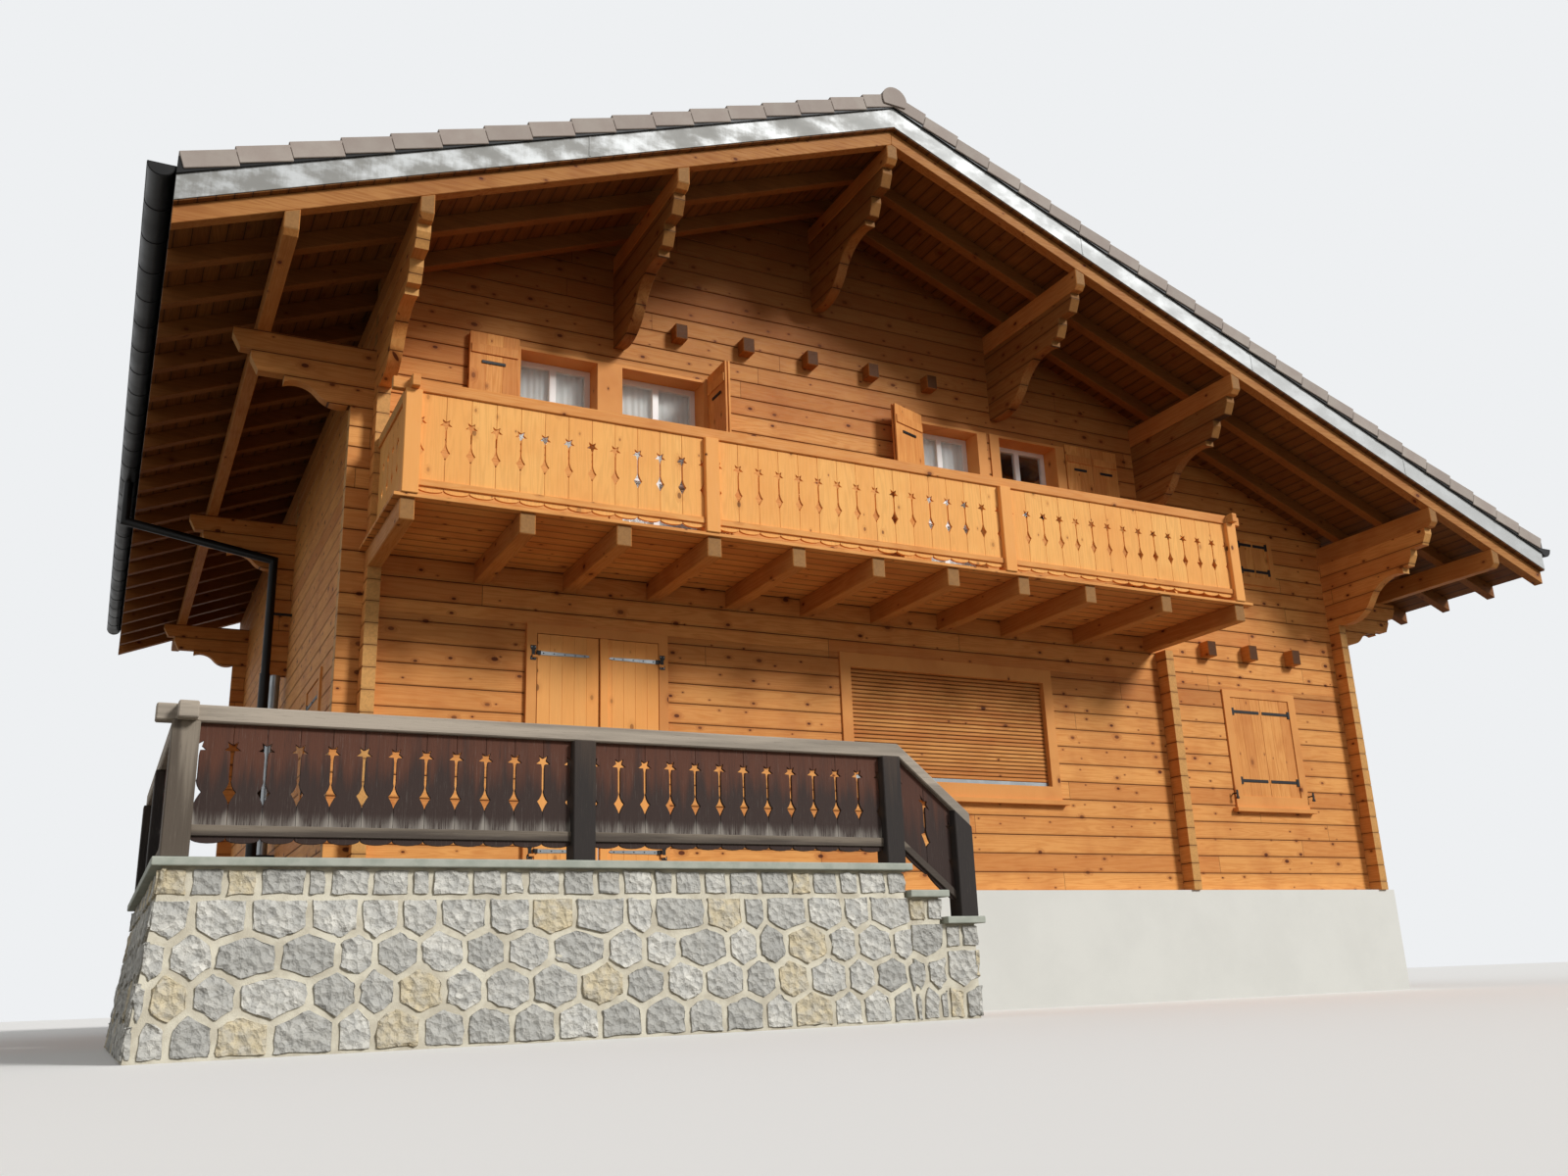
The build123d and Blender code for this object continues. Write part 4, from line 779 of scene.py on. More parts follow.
def past_balcony(place):
    """True on the three short beams right of the balcony."""
    return place.x > balcony_end and place.y < 0


def burnt(place):
    """True on the terrace posts that the sun has blackened, all but the corner post."""
    return place.x > corner_post[0] or place.y > corner_post[1]


# The outermost rafters get the lit copy of the rafter spruce and the inner ones the shaded copy: painted
# light and painted shade.
varied = {
    "rafters_left": ("verge", at_verge),
    "rafters_right": ("verge", at_verge),
    "floor_beams": ("attic_beam", past_balcony),
    "terrace_posts": ("burnt_post", burnt),
}


class CHALET_OT_timber(bpy.types.Operator):
    """Eases the edges of the logs, beams, posts and rails"""

    bl_idname = "chalet.timber"
    bl_label = "Ease Timber"

    def execute(self, context):
        for node, finish, width in timber_copies:
            piece = stand_in(ease(merged_copy(node, f"{node}_timber"), width), node, finish)
            if node in varied:
                self.vary(piece, *varied[node])
        return {"FINISHED"}

    def vary(self, piece, finish, applies):
        """Gives the faces for which applies is true a second finish."""
        piece.data.materials.append(finishes[finish])
        for polygon in piece.data.polygons:
            polygon.material_index = int(applies(polygon.center))


tile_gap = 0.0015
tile_lap = 0.05
tile_play = 0.0015
roll_width = 0.034
roll_rise = 0.009
roll_sink = 0.004
flap_thickness = 0.022
flap_short = 0.045
batten_gap = 0.012


def tile_rows(eave):
    """Lower and upper edge on X of each row of tiles, from the eave to the ridge."""
    across = ridge_x - eave
    count = round(abs(across) / sizes().tile_gauge)
    gauge = across / count
    return [(eave + gauge * i, eave + gauge * (i + 1)) for i in range(count)]


def tile_edges(low_x, high_x):
    """Heights of the lower and upper edge of a row of tiles."""
    return covering_low(low_x) + covering, covering_low(high_x) + covering - tile_lip


class CHALET_OT_roof_tiles(bpy.types.Operator):
    """Lays the flat interlocking tiles in rows, with verge tiles at both gables"""

    bl_idname = "chalet.roof_tiles"
    bl_label = "Lay Roof Tiles"

    def execute(self, context):
        for side, eave in (("left", eave_left), ("right", eave_right)):
            self.lay_slope(side, eave)
        return {"FINISHED"}

    def one_tile(self, low_x, high_x, y, width, flap_side=0):
        """One tile from its lower edge to its upper edge, with its rolled side lap."""
        s = sizes()
        low_z, high_z = tile_edges(low_x, high_x)
        length = sqrt((high_x - low_x) ** 2 + (high_z - low_z) ** 2) + tile_lap
        parts = [
            eased_block((0, tile_gap, -s.tile_thickness), (length, width - tile_gap, 0), 0.004),
            eased_block((0, width - roll_width, -roll_sink), (length, width - tile_gap, roll_rise), 0.006),
        ]
        if flap_side:
            low_y, high_y = (0.0, flap_thickness) if flap_side < 0 else (width - flap_thickness, width)
            parts.append(eased_block((0, low_y, -s.verge_flap), (length - flap_short, high_y, 0.0), 0.004))
        turn = Matrix.Rotation(-atan((high_z - low_z) / abs(high_x - low_x)), 4, "Y")
        if high_x < low_x:
            turn = Matrix.Scale(-1, 4, (1, 0, 0)) @ turn
        return placed(join("tile", parts), Matrix.Translation((low_x, y, low_z)) @ turn)

    def lay_slope(self, side, eave):
        s = sizes()
        draw = random.Random(s.seed)
        span = tiles_high.y - tiles_low.y
        count = round(span / s.tile_width)
        width = span / count
        rows = []
        for low_x, high_x in tile_rows(eave):
            first = self.one_tile(low_x, high_x, tiles_low.y, width, -1)
            last = self.one_tile(low_x, high_x, tiles_high.y - width, width, 1)
            middle = self.one_tile(low_x, high_x, tiles_low.y + width, width)
            row = [set_tone(piece, draw.random()) for piece in (first, last, middle)]
            for index in range(2, count - 1):
                twin = moved(middle, y=width * (index - 1), z=draw.uniform(-tile_play, tile_play))
                row.append(set_tone(twin, draw.random()))
            rows.append(join(f"tile_row_{side}", row))
        dress(join(f"tiles_{side}", rows), "tile")
        dress(self.underlay(side), "gutter", stands_for=(f"roof_tiles_{side}",))

    def underlay(self, side):
        """Battens and felt under the tiles, as one dark body that closes the roof's edges."""
        piece = merged_copy(f"roof_tiles_{side}", f"tile_battens_{side}")
        for vertex in piece.data.vertices:
            if vertex.co.z > covering_low(vertex.co.x) + SMALL:
                vertex.co.z -= sizes().tile_thickness + batten_gap
            if vertex.co.y < tiles_low.y + SMALL:
                vertex.co.y += batten_gap
            elif vertex.co.y > tiles_high.y - SMALL:
                vertex.co.y -= batten_gap
        return piece


cap_wall = 0.016
cap_sink = 0.004
collar_stand = 0.007
collar_length = 0.07


class CHALET_OT_ridge(bpy.types.Operator):
    """Lays the half-round ridge caps, each lapping the next, with a closed cap at each gable"""

    bl_idname = "chalet.ridge"
    bl_label = "Lay Ridge Caps"

    def execute(self, context):
        s = sizes()
        low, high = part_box("ridge_tiles")
        radius = (high.x - low.x) / 2
        centre = high.z - radius
        foot = covering_low(ridge_x + radius) + covering - cap_sink
        count = round((tiles_high.y - tiles_low.y) / s.ridge_cap)
        gauge = (tiles_high.y - tiles_low.y) / count
        draw = random.Random(s.seed + 1)
        shell = half_pipe(radius - collar_stand, cap_wall, (ridge_x, 0, centre), gauge, foot)
        collar = half_pipe(radius, cap_wall, (ridge_x, 0, centre), collar_length, foot)
        cap = join("cap", [shell, collar])
        caps = [set_tone(moved(cap, y=tiles_low.y + gauge * index), draw.random()) for index in range(count)]
        drop(cap)
        for end_low, end_high in ((low.y, tiles_low.y), (tiles_high.y, high.y)):
            disc = self.end_disc(radius, centre, low.z, end_low, end_high)
            caps.append(set_tone(disc, draw.random()))
        dress(join("ridge_caps", caps), "tile", stands_for=("ridge_tiles",))
        return {"FINISHED"}

    def end_disc(self, radius, centre, foot, low_y, high_y):
        """The round plate that closes the ridge at a gable, cut flat below."""
        disc = primitive(
            "cylinder", vertices=40, radius=radius, depth=high_y - low_y,
            location=(ridge_x, (low_y + high_y) / 2, centre), rotation=ALONG_Y
        )
        with whole_mesh():
            bpy.ops.mesh.bisect(
                plane_co=(ridge_x, 0, foot), plane_no=(0, 0, 1), clear_inner=True, use_fill=True
            )
        return ease(disc, 0.004, 2)


def half_pipe(radius, wall, centre, length, cut, keep_above=True):
    """A pipe along Y from a centre point, cut level at a height, with its wall inside the radius."""
    pipe = primitive(
        "cylinder", vertices=36, radius=radius, depth=length, end_fill_type="NOTHING",
        location=(centre[0], centre[1] + length / 2, centre[2]), rotation=ALONG_Y
    )
    with whole_mesh():
        bpy.ops.mesh.bisect(
            plane_co=(centre[0], 0, cut), plane_no=(0, 0, 1),
            clear_inner=keep_above, clear_outer=not keep_above
        )
    modify(pipe, "SOLIDIFY", thickness=wall, offset=-1)
    ease(pipe, wall / 5)
    bpy.ops.object.shade_smooth_by_angle(angle=smooth_angle)
    return pipe


bead = 0.009
sheet = 0.004
end_inset = 0.005
strap_stand = 0.004
strap_thickness = 0.005
strap_width = 0.026
apron_inside = 0.02
apron_outside = 0.012
apron_sheet = 0.003
smooth_angle = radians(40)


class CHALET_OT_gutters(bpy.types.Operator):
    """Hangs the half-round gutters with rolled rim, eave apron, straps and ends, and smooths the pipes"""

    bl_idname = "chalet.gutters"
    bl_label = "Hang Gutters"

    def execute(self, context):
        for side, outward in (("left", -1), ("right", 1)):
            node = f"gutter_{side}"
            low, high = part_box(node)
            radius = (high.x - low.x) / 2
            middle = (low.x + high.x) / 2
            length = high.y - low.y
            parts = [half_pipe(radius - strap_stand, sheet, (middle, low.y, high.z), length, high.z, False)]
            parts += self.straps(radius, middle, low.y, high.z, length)
            parts.append(self.bead(middle + outward * (radius - bead), low.y, length, high.z - bead))
            inner = high.x if outward < 0 else low.x
            edges = sorted((inner + outward * apron_inside, inner - outward * apron_outside))
            parts.append(add_block((edges[0], low.y, high.z - apron_sheet), (edges[1], high.y, high.z)))
            parts += self.ends(radius - end_inset, middle, high.z, (low.y + 0.001, high.y - 0.005))
            stand_in(join(f"{node}_sheet", parts), node, "gutter")
        for node, finish in (("downpipes", "gutter"), ("side_post", "pipe")):
            pipe = merged_copy(node, f"{node}_sheet")
            bpy.ops.object.shade_smooth_by_angle(angle=smooth_angle)
            stand_in(pipe, node, finish)
        return {"FINISHED"}

    def straps(self, radius, x, low_y, z, length):
        """The bands that carry a gutter, spread evenly along it."""
        count = round(length / sizes().gutter_strap)
        strap = half_pipe(radius, strap_thickness, (x, 0, z), strap_width, z, False)
        straps = []
        for index in range(count + 1):
            straps.append(moved(strap, y=low_y + 0.005 + (length - 0.036) * index / count))
        drop(strap)
        return straps

    def bead(self, x, low_y, length, z):
        """The rolled front edge of a gutter."""
        roll = primitive(
            "cylinder", vertices=12, radius=bead, depth=length, rotation=ALONG_Y,
            location=(x, low_y + length / 2, z)
        )
        bpy.ops.object.shade_smooth_by_angle(angle=smooth_angle)
        return roll

    def ends(self, radius, x, z, places):
        """The half-round plates that close a gutter."""
        steps = 18
        turns = [pi * i / steps for i in range(steps + 1)]
        profile = [(x + radius * cos(turn), z - radius * sin(turn)) for turn in turns]
        return [placed(plate(profile, sheet), Matrix.Translation((0, y, 0))) for y in places]


seam_half = 0.008
seam_stand = 0.004
seam_rise = 0.205
seam_drop = 0.208


class CHALET_OT_flashing(bpy.types.Operator):
    """Folds the zinc fascia with its joints and its drip edge"""

    bl_idname = "chalet.flashing"
    bl_label = "Fold Flashing"

    def execute(self, context):
        low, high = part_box("verge_flashing")
        parts = [ease(merged_copy("verge_flashing", "zinc_fascia"), 0.002)]
        for eave, towards in ((low.x, 1), (high.x, -1)):
            across = abs(ridge_x - eave)
            count = round(across / sizes().zinc_sheet)
            for index in range(1, count):
                x = eave + towards * across * index / count
                foot = high.z - slope * abs(x - ridge_x) - seam_drop
                for face, outward in ((low.y, -1), (high.y, 1)):
                    near, far = sorted((face, face + outward * seam_stand))
                    low_corner = (x - seam_half, near, foot)
                    high_corner = (x + seam_half, far, foot + seam_rise)
                    parts.append(eased_block(low_corner, high_corner, 0.0015))
        dress(join("zinc_fascia", parts), "zinc", stands_for=("verge_flashing",))
        return {"FINISHED"}


def star_edge(z, outer):
    """How deep half a star, its points down and out, cuts into a plank's edge, from the top down."""
    inner = outer * 0.43
    depths = [(0.0, z + inner)]
    for radius, degrees in ((outer, 54), (inner, 18), (outer, -18), (inner, -54)):
        depths.append((radius * cos(radians(degrees)), z + radius * sin(radians(degrees))))
    return depths


def drop_edge(z, half, above, below):
    """How deep half a pointed drop with hollow shoulders cuts into a plank's edge, from the top down."""
    return [
        (half * 0.1, z + above * 0.8),
        (half * 0.28, z + above * 0.48),
        (half * 0.6, z + above * 0.2),
        (half, z),
        (half * 0.62, z - below * 0.3),
        (half * 0.25, z - below * 0.66),
        (0.0, z - below),
    ]


def plank_outline(width, low, high, sag, cuts):
    """Outline of a railing plank with half of each cut-out in its two edges and a rounded foot."""
    half = width / 2 - plank_gap
    steps = 8
    right = [(half, high)] + [(half - depth, z) for depth, z in cuts] + [(half, low + sag)]
    foot = [
        (half * cos(pi * i / steps), low + sag * (1 - sin(pi * i / steps))) for i in range(1, steps)
    ]
    left = [(-x, z) for x, z in reversed(right)]
    return right + foot + left


def cut_outs(star_height, slit_foot, drop_height, above, below, star=1.0, slit=1.0, drop_half=1.0):
    """How deep a plank's edge is cut, from the top down: half a star, half the slit under it, half a drop."""
    s = sizes()
    cuts = star_edge(star_height, s.star * star)
    cuts += [(s.slit * slit, star_height - s.star), (s.slit * slit, slit_foot)]
    return cuts + drop_edge(drop_height, s.drop_width * drop_half, above, below)


# Heights of the cut-outs over the ground, and how much larger they are than the usual ones
gallery_cuts = {"star_height": 4.297, "slit_foot": 4.16, "drop_height": 4.072, "above": 0.085, "below": 0.062}
yard_cuts = {
    "star_height": 1.719, "slit_foot": 1.545, "drop_height": 1.462, "above": 0.08, "below": 0.07,
    "star": 1.04, "slit": 1.8, "drop_half": 1.06
}
gallery_low_rail = (3.792, 3.842)
yard_low_rail = (1.210, 1.272)
stair_fall = 0.83
plank_gap = 0.0012
plank_play = 0.0008


class CHALET_OT_fretwork(bpy.types.Operator):
    """Saws the railing planks with their stars and drops and sets them between the posts"""

    bl_idname = "chalet.fretwork"
    bl_label = "Saw Fretwork"

    def execute(self, context):
        gallery, yard = cut_outs(**gallery_cuts), cut_outs(**yard_cuts)
        for number in (1, 2, 3):
            self.panel(f"balcony_panel_{number}", "front", gallery, gallery_low_rail, "planks", "rail")
        for side in ("left", "right"):
            self.panel(f"balcony_panel_{side}", side, gallery, gallery_low_rail, "planks", "rail_y")
        for number in (1, 2):
            self.panel(f"terrace_panel_{number}", "front", yard, yard_low_rail, "aged", "aged_low")
        self.panel("terrace_panel_side", "left", yard, yard_low_rail, "aged", "aged_low")
        self.panel("terrace_panel_stair", "front", yard, yard_low_rail, "aged_stair", "aged_low", stair_fall)
        return {"FINISHED"}

    def panel(self, node, facing, cuts, rail, finish, rail_finish, fall=0.0):
        """One panel between two posts: its planks, and its bottom rail in front of them."""
        s = sizes()
        low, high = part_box(node)
        if facing == "front":
            length = high.x - low.x
            seat = frame_of((low.x, high.y, 0), (1, 0, 0), (0, -1, 0))
        else:
            length = high.y - low.y
            origin_x = high.x if facing == "left" else low.x
            seat = frame_of((origin_x, low.y, 0), (0, 1, 0), (-1 if facing == "left" else 1, 0, 0))
        seat = seat @ Matrix(((1, 0, 0, 0), (0, 1, 0, 0), (-fall, 0, 1, 0), (0, 0, 0, 1)))
        count = max(2, round(length / s.plank))
        width = length / count
        foot = low.z + fall * length
        outline = plank_outline(width, foot, high.z, s.scallop, cuts)
        pattern = ease(plate(outline, s.plank_thickness), 0.0015)
        across = pattern.data.attributes.new("across", "FLOAT", "POINT")
        across.data.foreach_set("value", [vertex.co.x for vertex in pattern.data.vertices])
        draw = random.Random(node)
        planks = []
        for index in range(count):
            plank = moved(pattern, x=width * (index + 0.5), y=draw.uniform(-plank_play, plank_play))
            planks.append(set_tone(plank, draw.random()))
        drop(pattern)
        boards = finish_with(placed(join(f"{node}_planks", planks), seat), finish)
        depth = high.y - low.y if facing == "front" else high.x - low.x
        low_rail = eased_block((0, s.plank_thickness, rail[0]), (length, depth, rail[1]), 0.004, 2)
        finish_with(placed(set_tone(low_rail, draw.random()), seat), rail_finish)
        stand_in(join(f"{node}_fretwork", [boards, low_rail]), node)


warm_share = 0.16
stone_depth = 0.05
stone_seat = 0.056
stone_play = 0.006


class CHALET_OT_stonework(bpy.types.Operator):
    """Lays the terrace walls of split limestone in lime mortar, their top row dressed square"""

    bl_idname = "chalet.stonework"
    bl_label = "Lay Stones"

    def execute(self, context):
        s = sizes()
        low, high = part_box("terrace_masonry")
        step_low, step_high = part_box("terrace_steps")
        nose = step_high.x - high.x
        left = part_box("terrace_paving")[0].x + nose
        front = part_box("terrace_paving")[0].y + nose
        right, back = step_low.x, step_high.y
        middle = (right + high.x) / 2
        lean = (left - low.x) / high.z
        going = middle - right
        tread_tops = [box[1].z for box in loose_boxes("terrace_steps")]
        block_tops = [box[0].z for box in loose_boxes("terrace_steps")]
        plinth_front = -0.03
        x, y = Vector((1, 0, 0)), Vector((0, 1, 0))
        corner = (low.x, low.y, 0)
        walls = [
            ("front", corner, x, -y, (0, lean, 1), right - low.x, high.z, lean),
            ("left", corner, y, -x, (lean, 0, 1), high.y - low.y, high.z, lean),
            ("back", (low.x, high.y, 0), x, y, (0, 0, 1), plinth_front - low.x, high.z, lean),
            ("right", (right, back, 0), y, x, (0, 0, 1), plinth_front - back, high.z, 0),
            ("stair", (right, front, 0), x, -y, (0, 0, 1), going, block_tops[0], 0),
            ("stair", (middle, front, 0), x, -y, (0, 0, 1), going, block_tops[1], 0),
            ("stair", (right, back, 0), x, y, (0, 0, 1), going, block_tops[0], 0),
            ("stair", (middle, back, 0), x, y, (0, 0, 1), going, block_tops[1], 0),
            ("stair", (high.x, front, 0), y, x, (0, 0, 1), back - front, block_tops[1], 0),
            (
                "stair", (right, front, tread_tops[0]), y, x, (0, 0, 1), back - front,
                high.z - tread_tops[0], 0
            ),
            ("stair", (middle, front, tread_tops[1]), y, x, (0, 0, 1), back - front,
             block_tops[0] - tread_tops[1], 0),
        ]
        draw = random.Random(s.seed + 2)
        laid = {}
        for wall, origin, along, outward, up, length, height, slant in walls:
            seat = frame_of(origin, along, outward, up)
            for outline in self.outlines(length, height, slant, draw):
                stone = placed(self.one_stone(outline, draw), seat)
                laid.setdefault(wall, []).append(stone)
        relief = bpy.data.textures.new("split_face", "CLOUDS")
        relief.noise_scale = 0.055
        relief.noise_depth = 2
        for wall, stones in laid.items():
            piece = join(f"terrace_stones_{wall}", stones)
            modify(piece, "SUBSURF", levels=1, render_levels=1)
            modify(piece, "DISPLACE", texture=relief, strength=0.04, mid_level=0.78, texture_coords="LOCAL")
            bpy.ops.object.shade_smooth_by_angle(angle=radians(24))
            dress(piece)
        self.mortar(high, back, s.joint_depth)
        for node in ("terrace_paving", "terrace_steps"):
            stand_in(ease(merged_copy(node, f"{node}_slabs"), 0.007, 2), node, "slab")
        return {"FINISHED"}

    def outlines(self, length, height, slant, draw):
        """Outlines of a wall's stones: a dressed row, one with pointed feet, then many-sided stones."""
        s = sizes()
        dressed = min(s.dressed_row, height)
        row = (height - dressed) / max(1, round((height - dressed) / s.stone_row))
        count = round((height - dressed) / row) if height > dressed else 0
        point = row * 0.17

        def split(level, width):
            """Joints along a row, from the leaning end to the other."""
            start = slant * level
            number = max(1, round((length - start) / width))
            pitch = (length - start) / number
            inner = [start + pitch * (i + draw.uniform(-0.24, 0.24)) for i in range(1, number)]
            return [start] + inner + [length]

        shapes = []
        top = height - dressed
        joints = split(top, s.stone * 0.72)
        for a, b in zip(joints, joints[1:]):
            shapes.append([(a, top), (b, top), (b, height), (a, height)])
        joints = split(top, s.stone)
        crest = None
        for number in range(count):
            foot = top - row
            last = number == count - 1
            peaks = [(x, foot + (0 if last else point * draw.uniform(0.6, 1.3))) for x in joints]
            dips = [
                ((a + b) / 2 + draw.uniform(-0.1, 0.1) * (b - a), foot - (0 if last else point))
                for a, b in zip(joints, joints[1:])
            ]
            for index, (a, b) in enumerate(zip(joints, joints[1:])):
                if crest is None:
                    head = [(b, top), (a, top)]
                else:
                    head = [crest[index][1], crest[index][2], crest[index][0]]
                    head = [p for p in head if p]
                shape = [peaks[index], dips[index], peaks[index + 1]] + head
                shapes.append(shape)
            if not last:
                lean_here = slant * foot
                edges = [(lean_here, foot)] + dips + [(length, foot)]
                hills = [None] + peaks[1:-1] + [None]
                crest = []
                for index in range(len(edges) - 1):
                    crest.append((edges[index], edges[index + 1], hills[index]))
                joints = [edge[0] for edge in edges]
            top = foot
        return shapes

    def one_stone(self, outline, draw):
        """A stone cut to its outline, less its half of the joints, with a bevelled split face."""
        s = sizes()
        middle_x = sum(p[0] for p in outline) / len(outline)
        middle_z = sum(p[1] for p in outline) / len(outline)
        points = []
        for x, z in outline:
            away = max(0.02, sqrt((x - middle_x) ** 2 + (z - middle_z) ** 2))
            share = 1 - s.mortar * draw.uniform(0.6, 1.0) / away
            points.append((middle_x + (x - middle_x) * share, middle_z + (z - middle_z) * share))
        stone = plate(points, stone_depth)
        stone.data.transform(Matrix.Translation((0, -stone_seat - draw.uniform(0.0, stone_play), 0)))
        ease(stone, s.mortar * 0.9, 2)
        finish_with(stone, "warm_stone" if draw.random() < warm_share else "stone")
        return set_tone(stone, draw.random())

    def mortar(self, high, back, depth):
        """The body of the walls, set back behind the faces of the stones."""
        core = merged_copy("terrace_masonry", "terrace_mortar")
        left_side, right_side, front_side = -1.0, 3.0, -1.5
        for vertex in core.data.vertices:
            place = vertex.co
            if place.x < left_side:
                place.x += depth
            elif place.x > right_side:
                place.x -= depth
            if place.y < front_side:
                place.y += depth
            elif abs(place.y - back) < SMALL or place.y > high.y - SMALL:
                place.y -= depth
        dress(core, "mortar", stands_for=("terrace_masonry",))


board_gap = 0.0004


def boarded(width, height, thick, draw, board=0.14):
    """Upright boards side by side, their faces from Y 0 to the thickness."""
    count = max(2, round(width / board))
    pitch = width / count
    boards = []
    for index in range(count):
        low_corner = (pitch * index + board_gap, 0, 0)
        plank = eased_block(low_corner, (pitch * (index + 1) - board_gap, thick, height), 0.0015)
        boards.append(set_tone(plank, draw.random()))
    return boards


door_board = 0.027
door_board_width = 0.105
pin_to_face = 0.015
leaf_gap = 0.006
low_hinge, high_hinge = 0.25, 0.18
ledge_inset = 0.02
ledge_below, ledge_above = 0.05, 0.08
band_thickness = 0.005
tang_reach = 0.03
nail_places = (0.12, 0.32, 0.52, 0.72, 0.9)
plate_thickness = 0.004


class CHALET_OT_doors(bpy.types.Operator):
    """Makes the boarded door leaves with their tapered straps, and the hinge plates on the casing"""

    bl_idname = "chalet.doors"
    bl_label = "Make Doors"

    def execute(self, context):
        draw = random.Random(sizes().seed + 3)
        plates = []
        for side, body, toward in (("left", "left_leaf", 1), ("right", "right_leaf", -1)):
            node = f"door_leaf_{side}"
            low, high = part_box(node)
            hinge = next(j for j in frame["record"]["behaviour"]["joints"] if j["child"] == body)["pos_m"]
            edge, pin_y = hinge[0], hinge[1]
            face = pin_y + pin_to_face
            free = high.x if toward > 0 else low.x
            start, end = sorted((edge + toward * leaf_gap, free))
            boards = boarded(end - start, high.z - low.z, door_board, draw, door_board_width)
            for board in boards:
                placed(board, Matrix.Translation((start, face, low.z)))
            levels = (low.z + low_hinge, high.z - high_hinge)
            for level in levels:
                low_corner = (start + ledge_inset, face + door_board, level - ledge_below)
                ledge = eased_block(low_corner, (end - ledge_inset, high.y, level + ledge_above), 0.004)
                boards.append(set_tone(ledge, draw.random()))
            if side == "right":
                strip = eased_block((start, face - 0.018, low.z), (start + 0.07, face, high.z), 0.004)
                boards.append(set_tone(strip, 0.2))
            stand_in(join(f"{node}_boards", boards), node, "door", body)
            irons = []
            for level in levels:
                irons += self.strap(edge, toward, face, pin_y, level)
                plates += self.hinge_plate(edge - toward * 0.03, face, level)
            dress(join(f"{node}_straps", irons), body=body)
        dress(join("hinge_plates", plates))
        return {"FINISHED"}

    def strap(self, edge, toward, face, pin_y, level):
        """One strap, tapered to a rounded end, with its nails and the knuckle round the pin."""
        height, length = 0.034, 0.455
        profile = [
            (0.008, 0.0), (length * 0.92, 0.006), (length * 0.97, 0.0085), (length, height / 2),
            (length * 0.97, height - 0.0085), (length * 0.92, height - 0.006), (0.008, height),
        ]
        band = ease(plate([(toward * x, z) for x, z in profile], band_thickness), 0.001)
        band.data.transform(Matrix.Translation((edge, face - band_thickness, level)))
        start, end = sorted((edge + toward * leaf_gap, edge + toward * tang_reach))
        tang = add_block((start, pin_y, level), (end, face, level + height))
        knuckle = primitive(
            "cylinder", vertices=16, radius=0.009, depth=height, location=(edge, pin_y, level + height / 2)
        )
        parts = [finish_with(band, "strap"), finish_with(tang, "iron")]
        parts.append(finish_with(ease(knuckle, 0.001), "iron"))
        for share in nail_places:
            nail_x = edge + toward * length * share
            parts.append(self.nail(nail_x, face - band_thickness, level + height / 2, 0.006, "iron"))
        return parts

    def nail(self, x, y, z, radius, finish):
        """A domed nail head on a face that looks to the front."""
        head = primitive(
            "uv_sphere", (1, 0.4, 1), segments=10, ring_count=6, radius=radius, location=(x, y, z)
        )
        return finish_with(head, finish)

    def hinge_plate(self, x, face, level):
        """The black plate behind a pin, with a waist and four pale screw heads."""
        half, waist, tall = 0.024, 0.013, 0.062
        middle = level + 0.017
        shoulder, neck = tall * 0.55, tall * 0.3
        profile = [
            (-half, -tall), (half, -tall), (half, -shoulder), (waist, -neck),
            (waist, neck), (half, shoulder), (half, tall), (-half, tall),
            (-half, shoulder), (-waist, neck), (-waist, -neck), (-half, -shoulder)
        ]
        backing = ease(plate(profile, plate_thickness), 0.001)
        backing.data.transform(Matrix.Translation((x, face - plate_thickness, middle)))
        parts = [finish_with(backing, "iron")]
        for dx in (-0.014, 0.014):
            for dz in (-tall * 0.78, tall * 0.78):
                parts.append(self.nail(x + dx, face - plate_thickness, middle + dz, 0.0055, "strap"))
        return parts


folded_thickness = 0.05
wall_touch = (-0.08, 0.02)
upper_storey = 4.5
attic_reach = 5.6
shutter_gap = 0.002
shutter_ledge = 0.011
back_inset = 0.013
pad_width = 0.034


